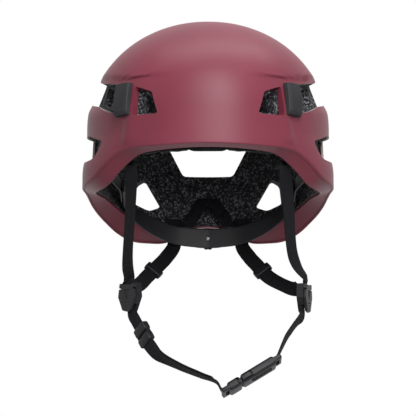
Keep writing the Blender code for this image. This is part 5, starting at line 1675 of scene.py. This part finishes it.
def second_layer(spine, across, lift):
    """The spine of a strap that lies on another, a lift off its face."""
    layer = []
    for i, point in enumerate(spine):
        along = spine[min(i + 1, len(spine) - 1)] - spine[max(i - 1, 0)]
        layer.append(point + along.cross(across[i]).normalized() * lift)
    return layer


def webbing(name, spine, across, material):
    """A woven strap along a spine, its edges stepping in and out with the weave's picks."""
    step = bpy.context.scene.helmet_sizes.yarn / 2
    points, sides = even_steps(spine, across, step)
    shape = oval(WEBBING_WIDTH / 2, WEBBING_THICKNESS / 2, SECTION_POINTS, WEBBING_POWERS)
    edge = WEBBING_WIDTH * EDGE_SHARE

    def section(i):
        bite = EDGE_BITE * (-1) ** (i // EDGE_STEPS)
        return [(x + math.copysign(bite, x) if abs(x) > edge else x, z) for x, z in shape]

    bm = bmesh.new()
    swept(bm, points, sides, section)
    return piece_from(name, bm, material)


def side_route(word, end):
    """Stops of a side strap from its anchor to its divider."""
    if end == "front":
        across = divider_place(word).to_3x3() @ Vector((1, 0, 0))
        shift = DIVIDER_SHIFT * SIDES[word]
        routes = FRONT_ROUTES
        ends = [(in_divider(word, shift, y, 1), across) for y in DIVIDER_STOPS]
    else:
        routes, ends = REAR_ROUTES, behind_divider(word)
    start = [anchor_stop(word, end, drop) for drop in ANCHOR_DROPS]
    flip = 1 if start[-1][1].dot(Vector(routes[word][0][1])) > 0 else -1
    return [(point, cross * flip) for point, cross in start] + routes[word] + ends


def buckle_place():
    """Placement at the buckle's mouth: X into the female half, Y across, Z out of its face."""
    along = Vector(BUCKLE_AXIS).normalized()
    face = Vector(BUCKLE_FACE)
    face = (face - along * face.dot(along)).normalized()
    return facing(BUCKLE_MOUTH, along, face.cross(along))


def bar_stops(place, side, cross):
    """Stops of a strap that comes over a web bar and out through its slot."""
    slot = BUCKLE_BODY_LENGTH + BAR_SLOT / 2 if side > 0 else -MALE_LENGTH - BAR_SLOT / 2
    over = (BAR_THICKNESS + WEBBING_THICKNESS) / 2 + STRAP_GAP
    steps = [
        (BAR_SLOT / 2 + BAR_LEAD, -over), (0.0, -over * BAR_WRAP), (0.0, over * BAR_WRAP),
    ]
    return [(place @ Vector((slot + side * x, 0, z)), cross) for x, z in steps]


def chin_right():
    """Stops of the chin strap on the wearer's right, its slope, and the way across it."""
    place = buckle_place()
    slope = Vector(CHIN_RIGHT_SLOPE).normalized()
    across = divider_place("right").to_3x3() @ Vector((1, 0, 0))
    start = in_divider("right", DIVIDER_SHIFT, CHIN_RIGHT_FOOT, 0)
    flat = across - slope * across.dot(slope)
    stops = [(in_divider("right", DIVIDER_SHIFT, y, 0), across) for y in CHIN_STOPS]
    stops += [(start, across)]
    stops += [(start + slope * distance, flat) for distance in CHIN_RIGHT_STEPS]
    stops += CHIN_RIGHT_ROUTE + bar_stops(place, -1, place.to_3x3() @ Vector((0, 1, 0)))
    return stops, start, slope, flat


class HELMET_OT_straps(bpy.types.Operator):
    """Make the side straps and the chin straps"""

    bl_idname = "helmet.straps"
    bl_label = "Straps"
    bl_options = {"REGISTER", "UNDO"}

    def execute(self, context):
        woven = woven_polyester_webbing()
        for word in SIDES:
            for end in ("front", "rear"):
                spine, across = strap_route(side_route(word, end))
                strap = webbing(f"{end}_strap_{word}", spine, across, woven)
                finish_piece(strap, "root", (f"{end}_webbing_{word}",), 60)
        place = buckle_place()
        across = divider_place("left").to_3x3() @ Vector((1, 0, 0))
        stops = [
            (in_divider("left", -DIVIDER_SHIFT, y, 0), across)
            for y in (*CHIN_STOPS, CHIN_LEFT_FOOT)
        ]
        stops += CHIN_LEFT_ROUTE + bar_stops(place, 1, place.to_3x3() @ Vector((0, -1, 0)))
        strap = webbing("chin_strap_left", *strap_route(stops), woven)
        finish_piece(strap, "root", ("chin_webbing_left",), 60)

        stops, start, slope = chin_right()[:3]
        spine, across = strap_route(stops)
        first = round(RETURN_ENDS[0] * ROUTE_STEPS)
        last = round((len(stops) - 1 - RETURN_ENDS[1]) * ROUTE_STEPS) + 1
        upper = second_layer(spine, across, -(WEBBING_THICKNESS + STRAP_GAP))[first:last]
        for name, points, sides, node in (
            ("chin_strap_right", spine, across, "chin_webbing_right"),
            ("chin_strap_return", upper, across[first:last], "chin_webbing_return"),
        ):
            strap = webbing(name, points, sides, woven)
            raise_and_smooth(strap, 60)
            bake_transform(strap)
            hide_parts(node)
        return {"FINISHED"}


# ---- Fittings on the straps ----
def cuff(name, place, inner, outer, length):
    """A moulded loop round a strap, its long faces bulging between its rims."""
    bm = bmesh.new()
    block(bm, (outer[0], length, outer[1]), (0, 0, 0), min(outer[1], length) * CUFF_ROUND, 5)
    for v in bm.verts:
        v.co.z += math.copysign(CUFF_BULGE, v.co.z) * (1 - (2 * v.co.x / outer[0]) ** 2)
    bmesh.ops.transform(bm, matrix=place, verts=bm.verts)
    loop = piece_from(name, bm, moulded_nylon())
    carve_boxes(loop, place, ((inner[0], 3 * length, inner[1]), (0, 0, 0)))
    return loop


def strap_frame(one, two, across):
    """Placement midway between two points of a strap: X across it, Y along it, Z out of it."""
    along = Vector(two) - Vector(one)
    middle = (Vector(one) + Vector(two)) / 2
    return facing(middle, along, across) @ Matrix.Rotation(math.radians(90), 4, "Z")


class HELMET_OT_sliders(bpy.types.Operator):
    """Make the rear straps' sliders and the chin strap's adjuster"""

    bl_idname = "helmet.sliders"
    bl_label = "Sliders and adjuster"
    bl_options = {"REGISTER", "UNDO"}

    def execute(self, context):
        inner = (WEBBING_WIDTH + 2 * SLIDER_SLACK, WEBBING_THICKNESS + 2 * SLIDER_SLACK)
        outer = (inner[0] + 2 * SLIDER_WALL, inner[1] + 2 * SLIDER_WALL)
        for word in SIDES:
            one, two = (REAR_ROUTES[word][i] for i in SLIDER_SPAN)
            place = strap_frame(one[0], two[0], one[1])
            slider = cuff(f"rear_slider_{word}_moulding", place, inner, outer, SLIDER_LENGTH)
            finish_piece(slider, f"slider_{word}", (f"rear_slider_{word}",), 45)

        start, slope, flat = chin_right()[1:]
        lift = WEBBING_THICKNESS + STRAP_GAP
        face = -slope.cross(flat).normalized()
        middle = start + slope * ADJUSTER_PLACE + face * (lift / 2)
        inner = (WEBBING_WIDTH + 2 * ADJUSTER_SLACK, lift + WEBBING_THICKNESS + 2 * ADJUSTER_SLACK)
        outer = (inner[0] + 2 * ADJUSTER_WALL, inner[1] + 2 * ADJUSTER_WALL)
        place = facing(middle, slope, flat) @ Matrix.Rotation(math.radians(90), 4, "Z")
        half = (ADJUSTER_LENGTH - CUFF_GAP) / 2
        for number, side in (("upper", 1), ("lower", -1)):
            shift = Matrix.Translation((side * CUFF_SHIFT, side * (half + CUFF_GAP) / 2, 0))
            nodes = ("chin_adjuster",) if number == "upper" else ()
            loop = cuff(f"chin_adjuster_{number}_cuff", place @ shift, inner, outer, half)
            finish_piece(loop, "adjuster", nodes, 45)
        bm = bmesh.new()
        for side in SIDES.values():
            block(
                bm, (ADJUSTER_WALL, RAIL_LENGTH, outer[1] / 2),
                (side * (outer[0] - ADJUSTER_WALL) / 2, 0, 0), 0.0003, 2, place,
            )
        rails = piece_from("chin_adjuster_rails", bm, moulded_nylon())
        finish_piece(rails, "adjuster", (), 45)
        return {"FINISHED"}


def thumb_recess(top, place):
    """A cutter for the sunk triangle under a lever's hinge, wider toward the lever's face."""
    bm = bmesh.new()
    for v in slab(bm, THUMB_RECESS, top - THUMB_DEPTH, top + THUMB_CLEAR):
        if v.co.z > top:
            v.co.x *= THUMB_DRAFT
            v.co.y = THUMB_MIDDLE + (v.co.y - THUMB_MIDDLE) * THUMB_DRAFT
    bmesh.ops.transform(bm, matrix=place, verts=bm.verts)
    return mesh_of("thumb_recess", bm)


class HELMET_OT_dividers(bpy.types.Operator):
    """Make the dividers where the side straps meet, with their levers and grip dots"""

    bl_idname = "helmet.dividers"
    bl_label = "Strap dividers"
    bl_options = {"REGISTER", "UNDO"}

    def execute(self, context):
        plastic = moulded_nylon()
        top = divider_depth() / 2
        width = max(x for x, y in DIVIDER_OUTLINE)
        channel = width - DIVIDER_CHEEK
        neck = channel - LEVER_GAP
        outline = DIVIDER_OUTLINE + mirrored(DIVIDER_OUTLINE[1:])
        flap = [(x, max(LEVER_FOOT, y)) for x, y in DIVIDER_OUTLINE if y < LEVER_SHOULDER]
        flap += [
            (width * LEVER_TAPER, LEVER_SHOULDER), (neck, LEVER_SHOULDER + 0.0004),
            (neck, LEVER_TOP),
        ]
        flap += mirrored(flap[1:])
        for word in SIDES:
            place = divider_place(word)
            base = slab_piece(
                f"divider_{word}_body", plastic, outline, -top,
                top - LEVER_THICKNESS - LEVER_LIFT, place,
            )
            slot = (2 * channel, DIVIDER_SLOT_LENGTH, 2 * top)
            carve_boxes(base, place, (slot, (0, 0, DIVIDER_BASE)))
            bm = bmesh.new()
            for side in SIDES.values():
                centre = (side * EAR_PLACE[0], EAR_PLACE[1], top - EAR_SIZE[2] / 2)
                block(bm, EAR_SIZE, centre, 0.0004, 2, place)
            combine(base, "UNION", [mesh_of("hinge_ears", bm)])
            round_edges(base, 0.0007, 3, 30)
            finish_piece(base, "root", (f"divider_{word}",), 35)
            lever = slab_piece(
                f"divider_lever_{word}_flap", plastic, flap, top - LEVER_THICKNESS, top, place
            )
            carve(lever, (thumb_recess(top, place), plastic))
            round_edges(lever, 0.0005, 3, 25)
            finish_piece(lever, f"lever_{word}", (f"divider_lever_{word}",), 35)
            bm = bmesh.new()
            for x, y in GRIP_DOTS:
                bmesh.ops.create_uvsphere(
                    bm, u_segments=12, v_segments=8, radius=GRIP_RADIUS,
                    matrix=place @ Matrix.Translation((x, y, top)),
                )
            dots = piece_from(f"divider_grips_{word}", bm, plastic)
            finish_piece(dots, f"lever_{word}", (), 60)
        return {"FINISHED"}


# ---- Buckle ----
def buckle_moulding(name, place, blocks, boxes=()):
    """Rounded blocks welded together, with boxes cut out. A block is given as for block()."""
    first, *others = [block_mesh(name, *settings, place) for settings in blocks]
    piece = stand_in(name, first, moulded_nylon())
    for mesh in others:
        combine(piece, "UNION", [mesh])
    if boxes:
        carve_boxes(piece, place, *boxes)
    round_edges(piece, 0.0003, 2, 40)
    return piece


class HELMET_OT_buckle(bpy.types.Operator):
    """Make the side-release buckle's two halves and its squeeze arms"""

    bl_idname = "helmet.buckle"
    bl_label = "Buckle"
    bl_options = {"REGISTER", "UNDO"}

    def execute(self, context):
        place = buckle_place()
        body, male = BUCKLE_BODY_LENGTH, MALE_LENGTH - BUCKLE_CLEARANCE
        pocket = (BUCKLE_WIDTH - 2 * BUCKLE_WALL, BUCKLE_THICKNESS - 2 * BUCKLE_WALL)
        thick = pocket[1] - 2 * BUCKLE_CLEARANCE
        arm_y = (pocket[0] - ARM_THICKNESS) / 2 - BUCKLE_CLEARANCE
        slot = (BAR_SLOT, WEBBING_WIDTH + SLOT_ROOM, 2 * BUCKLE_THICKNESS)
        bar = (BAR_SLOT + BAR_WIDTH + BAR_ROOT, BUCKLE_WIDTH, BAR_THICKNESS)
        bar_middle = BAR_SLOT + BAR_WIDTH - bar[0] / 2
        female_half = buckle_moulding("buckle_female_moulding", place, [
            ((body, BUCKLE_WIDTH, BUCKLE_THICKNESS), (body / 2, 0, 0), *BODY_ROUND),
            (bar, (body + bar_middle, 0, 0), *BAR_ROUND),
            (RIB_SIZE, (*RIB_PLACE, BUCKLE_THICKNESS / 2), *RIB_ROUND),
        ], [
            ((2 * BUCKLE_POCKET_DEPTH, *pocket), (0, 0, 0)),
            ((2 * (BUTTON_LENGTH + NOTCH_CLEARANCE), 2 * BUCKLE_WIDTH, pocket[1]), (0, 0, 0)),
            (slot, (body + BAR_SLOT / 2, 0, 0)),
        ])
        finish_piece(female_half, "root", ("buckle_female",), 40)
        notch = (ARM_NOTCH[0], 2 * (ARM_THICKNESS + ARM_NOTCH[1]), pocket[1])
        tongue = (TONGUE_LENGTH + TONGUE_ROOT, TONGUE_WIDTH, thick)
        male_half = buckle_moulding("buckle_male_moulding", place, [
            (
                (male, BUCKLE_WIDTH, BUCKLE_THICKNESS), (-BUCKLE_CLEARANCE - male / 2, 0, 0),
                *BODY_ROUND,
            ),
            (bar, (-MALE_LENGTH - bar_middle, 0, 0), *BAR_ROUND),
            (tongue, ((TONGUE_LENGTH - TONGUE_ROOT) / 2, 0, 0), *TONGUE_ROUND),
        ], [
            (slot, (-MALE_LENGTH - BAR_SLOT / 2, 0, 0)), (notch, (0, arm_y, 0)),
            (notch, (0, -arm_y, 0)),
        ])
        finish_piece(male_half, "male_half", ("buckle_male",), 40)
        out = BUCKLE_CLEARANCE + BUCKLE_WALL + BUTTON_PROUD
        button_x = (BUTTON_LENGTH + BUCKLE_CLEARANCE) / 2
        for word, side in (("front", 1), ("rear", -1)):
            y = side * arm_y
            arm = buckle_moulding(f"squeeze_arm_{word}", place, [
                (
                    (ARM_LENGTH + ARM_ROOT, ARM_THICKNESS, thick),
                    ((ARM_LENGTH - ARM_ROOT) / 2, y, 0), *ARM_ROUND,
                ),
                (
                    (BUTTON_LENGTH, ARM_THICKNESS + out, thick), (button_x, y + side * out / 2, 0),
                    *BUTTON_ROUND,
                ),
            ])
            finish_piece(arm, f"arm_{word}", (f"buckle_arm_{word}",), 40)
        return {"FINISHED"}


# ---- Stitching ----
def bar_tack(bm, place, width, length, rows):
    """A close zigzag of thread across a strap."""
    for row in range(rows):
        y = length * (row / (rows - 1) - 0.5)
        for k in range(STITCHES):
            x = width * ((k + 0.5) / STITCHES - 0.5)
            turn = Matrix.Rotation(math.radians(STITCH_TURN * (-1) ** (k + 1)), 4, "Z")
            size = Matrix.Diagonal((width / STITCHES * STITCH_SIZE[0], *STITCH_SIZE[1:], 1))
            bmesh.ops.create_uvsphere(
                bm, u_segments=8, v_segments=6, radius=1,
                matrix=place @ Matrix.Translation((x, y, 0)) @ turn @ size,
            )


def tack_place(spine, across, index, lift):
    """Placement on a strap's face at a point of its spine: X across it, Y along it."""
    along = (spine[index + 1] - spine[index - 1]).normalized()
    side = (across[index] - along * across[index].dot(along)).normalized()
    out = side.cross(along)
    return facing(spine[index] + out * lift, side, along)


class HELMET_OT_stitching(bpy.types.Operator):
    """Make the bar tacks that hold the straps' sewn ends"""

    bl_idname = "helmet.stitching"
    bl_label = "Stitching"
    bl_options = {"REGISTER", "UNDO"}

    def execute(self, context):
        thread = twisted_sewing_thread()
        for word in SIDES:
            spine, across = strap_route(side_route(word, "front"))
            bm = bmesh.new()
            for lift in (WEBBING_THICKNESS / 2, -WEBBING_THICKNESS / 2):
                place = tack_place(spine, across, TACK_STATION, lift)
                bar_tack(bm, place, WEBBING_WIDTH * TACK_SHARE, TACK_LENGTH, TACK_ROWS)
            tack = piece_from(f"front_tack_{word}", bm, thread)
            finish_piece(tack, "root", (), 180)
        return {"FINISHED"}


# ---- Kept solids and stage ----
class HELMET_OT_small_parts(bpy.types.Operator):
    """Give the small solids that are kept as they are their finished materials"""

    bl_idname = "helmet.small_parts"
    bl_label = "Pins, plugs and anchors"
    bl_options = {"REGISTER", "UNDO"}

    def execute(self, context):
        steel, plastic = turned_steel(), moulded_nylon()
        for name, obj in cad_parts.items():
            if name.startswith(("lever_pin", "dial_axle")):
                obj.material_slots[0].material = steel
            elif name.startswith(("temple_pin", "yoke_plug", "front_anchor", "rear_anchor")):
                obj.material_slots[0].material = plastic
        return {"FINISHED"}


def area_light(name, place, aim, size, power):
    """A rectangular light that faces a point."""
    light = bpy.data.lights.new(name, "AREA")
    light.shape = "RECTANGLE"
    light.size, light.size_y = size
    light.energy = power
    obj = bpy.data.objects.new(name, light)
    bpy.context.scene.collection.objects.link(obj)
    obj.location = place
    obj.rotation_euler = (aim - place).to_track_quat("-Z", "Y").to_euler()


class HELMET_OT_stage(bpy.types.Operator):
    """Set the floor, the lights, the white surround and the camera"""

    bl_idname = "helmet.stage"
    bl_label = "Stage"
    bl_options = {"REGISTER", "UNDO"}

    def execute(self, context):
        scene = context.scene
        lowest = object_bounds()[0][2]
        bm = bmesh.new()
        bmesh.ops.create_grid(bm, x_segments=8, y_segments=8, size=FLOOR_HALF)
        bmesh.ops.translate(bm, verts=bm.verts, vec=(0, 0, lowest - FLOOR_GAP))
        floor = piece_from("studio_floor", bm, self.floor_material())
        floor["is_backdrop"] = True
        self.make_world(scene)
        middle = Vector((0, 0, LEVEL))
        for name, (offset, size, power) in LIGHTS.items():
            area_light(name, middle + Vector(offset), middle, size, power)
        camera = bpy.data.cameras.new("camera")
        camera.lens, camera.sensor_width = CAMERA_LENS, 36
        holder = bpy.data.objects.new("camera", camera)
        scene.collection.objects.link(holder)
        holder.location = CAMERA_PLACE
        holder.rotation_euler = (math.radians(90 + CAMERA_RISE), 0, 0)
        scene.camera = holder
        scene.view_settings.view_transform = "Standard"
        return {"FINISHED"}

    def show_white(self, tree, lit, kind, output):
        """Gives the camera, mirrors and glass plain white, and all other rays a lit shader."""
        white = add_node(tree, kind, {"Color": (1, 1, 1, 1), "Strength": 1.0})
        path = add_node(tree, "ShaderNodeLightPath").outputs
        seen = result(tree, "MAXIMUM", path["Is Camera Ray"], path["Is Glossy Ray"])
        seen = result(tree, "MAXIMUM", seen, path["Is Transmission Ray"])
        shaders = {0: seen, 1: lit.outputs[0], 2: white.outputs[0]}
        mixed = add_node(tree, "ShaderNodeMixShader", shaders)
        tree.links.new(mixed.outputs[0], tree.nodes[output].inputs[0])

    def floor_material(self):
        """Plain pale card under the object, white where the camera looks at it."""
        material = bpy.data.materials.new("pale_studio_card")
        material.use_nodes = True
        tree = material.node_tree
        card = tree.nodes["Principled BSDF"]
        set_inputs(tree, card, {"Base Color": (*[FLOOR_SHADE] * 3, 1), "Roughness": 0.9})
        self.show_white(tree, card, "ShaderNodeEmission", "Material Output")
        return material

    def make_world(self, scene):
        """A soft studio surround, seen as white."""
        scene.world = bpy.data.worlds.new("studio")
        scene.world.use_nodes = True
        tree = scene.world.node_tree
        soft = tree.nodes["Background"]
        set_inputs(tree, soft, {"Color": (1, 1, 1, 1), "Strength": AMBIENT})
        self.show_white(tree, soft, "ShaderNodeBackground", "World Output")


# ---- Panel and registration ----
class HELMET_PT_panel(bpy.types.Panel):
    """Lists the helmet's steps and settings"""

    bl_label = "Climbing Helmet"
    bl_idname = "HELMET_PT_panel"
    bl_space_type = "VIEW_3D"
    bl_region_type = "UI"
    bl_category = "Helmet"

    def draw(self, context):
        layout = self.layout
        for settings, names in (
            (context.scene.helmet_colours, HelmetColours.__annotations__),
            (context.scene.helmet_sizes, HelmetSizes.__annotations__),
        ):
            box = layout.box()
            for name in names:
                box.prop(settings, name)
        for step in STEPS:
            layout.operator(step.bl_idname)


STEPS = (
    HELMET_OT_shell, HELMET_OT_foam, HELMET_OT_pads, HELMET_OT_headband, HELMET_OT_dial,
    HELMET_OT_clips, HELMET_OT_straps, HELMET_OT_sliders, HELMET_OT_dividers, HELMET_OT_buckle,
    HELMET_OT_stitching, HELMET_OT_small_parts, HELMET_OT_stage,
)
CLASSES = (HelmetColours, HelmetSizes, *STEPS, HELMET_PT_panel)


def register():
    for cls in CLASSES:
        bpy.utils.register_class(cls)
    bpy.types.Scene.helmet_colours = PointerProperty(type=HelmetColours)
    bpy.types.Scene.helmet_sizes = PointerProperty(type=HelmetSizes)


def unregister():
    del bpy.types.Scene.helmet_sizes
    del bpy.types.Scene.helmet_colours
    for cls in reversed(CLASSES):
        bpy.utils.unregister_class(cls)


def main():
    register()
    bpy.ops.helmet.shell()
    bpy.ops.helmet.foam()
    bpy.ops.helmet.pads()
    bpy.ops.helmet.headband()
    bpy.ops.helmet.dial()
    bpy.ops.helmet.clips()
    bpy.ops.helmet.straps()
    bpy.ops.helmet.sliders()
    bpy.ops.helmet.dividers()
    bpy.ops.helmet.buckle()
    bpy.ops.helmet.stitching()
    bpy.ops.helmet.small_parts()
    bpy.ops.helmet.stage()


if __name__ == "__main__":
    main()
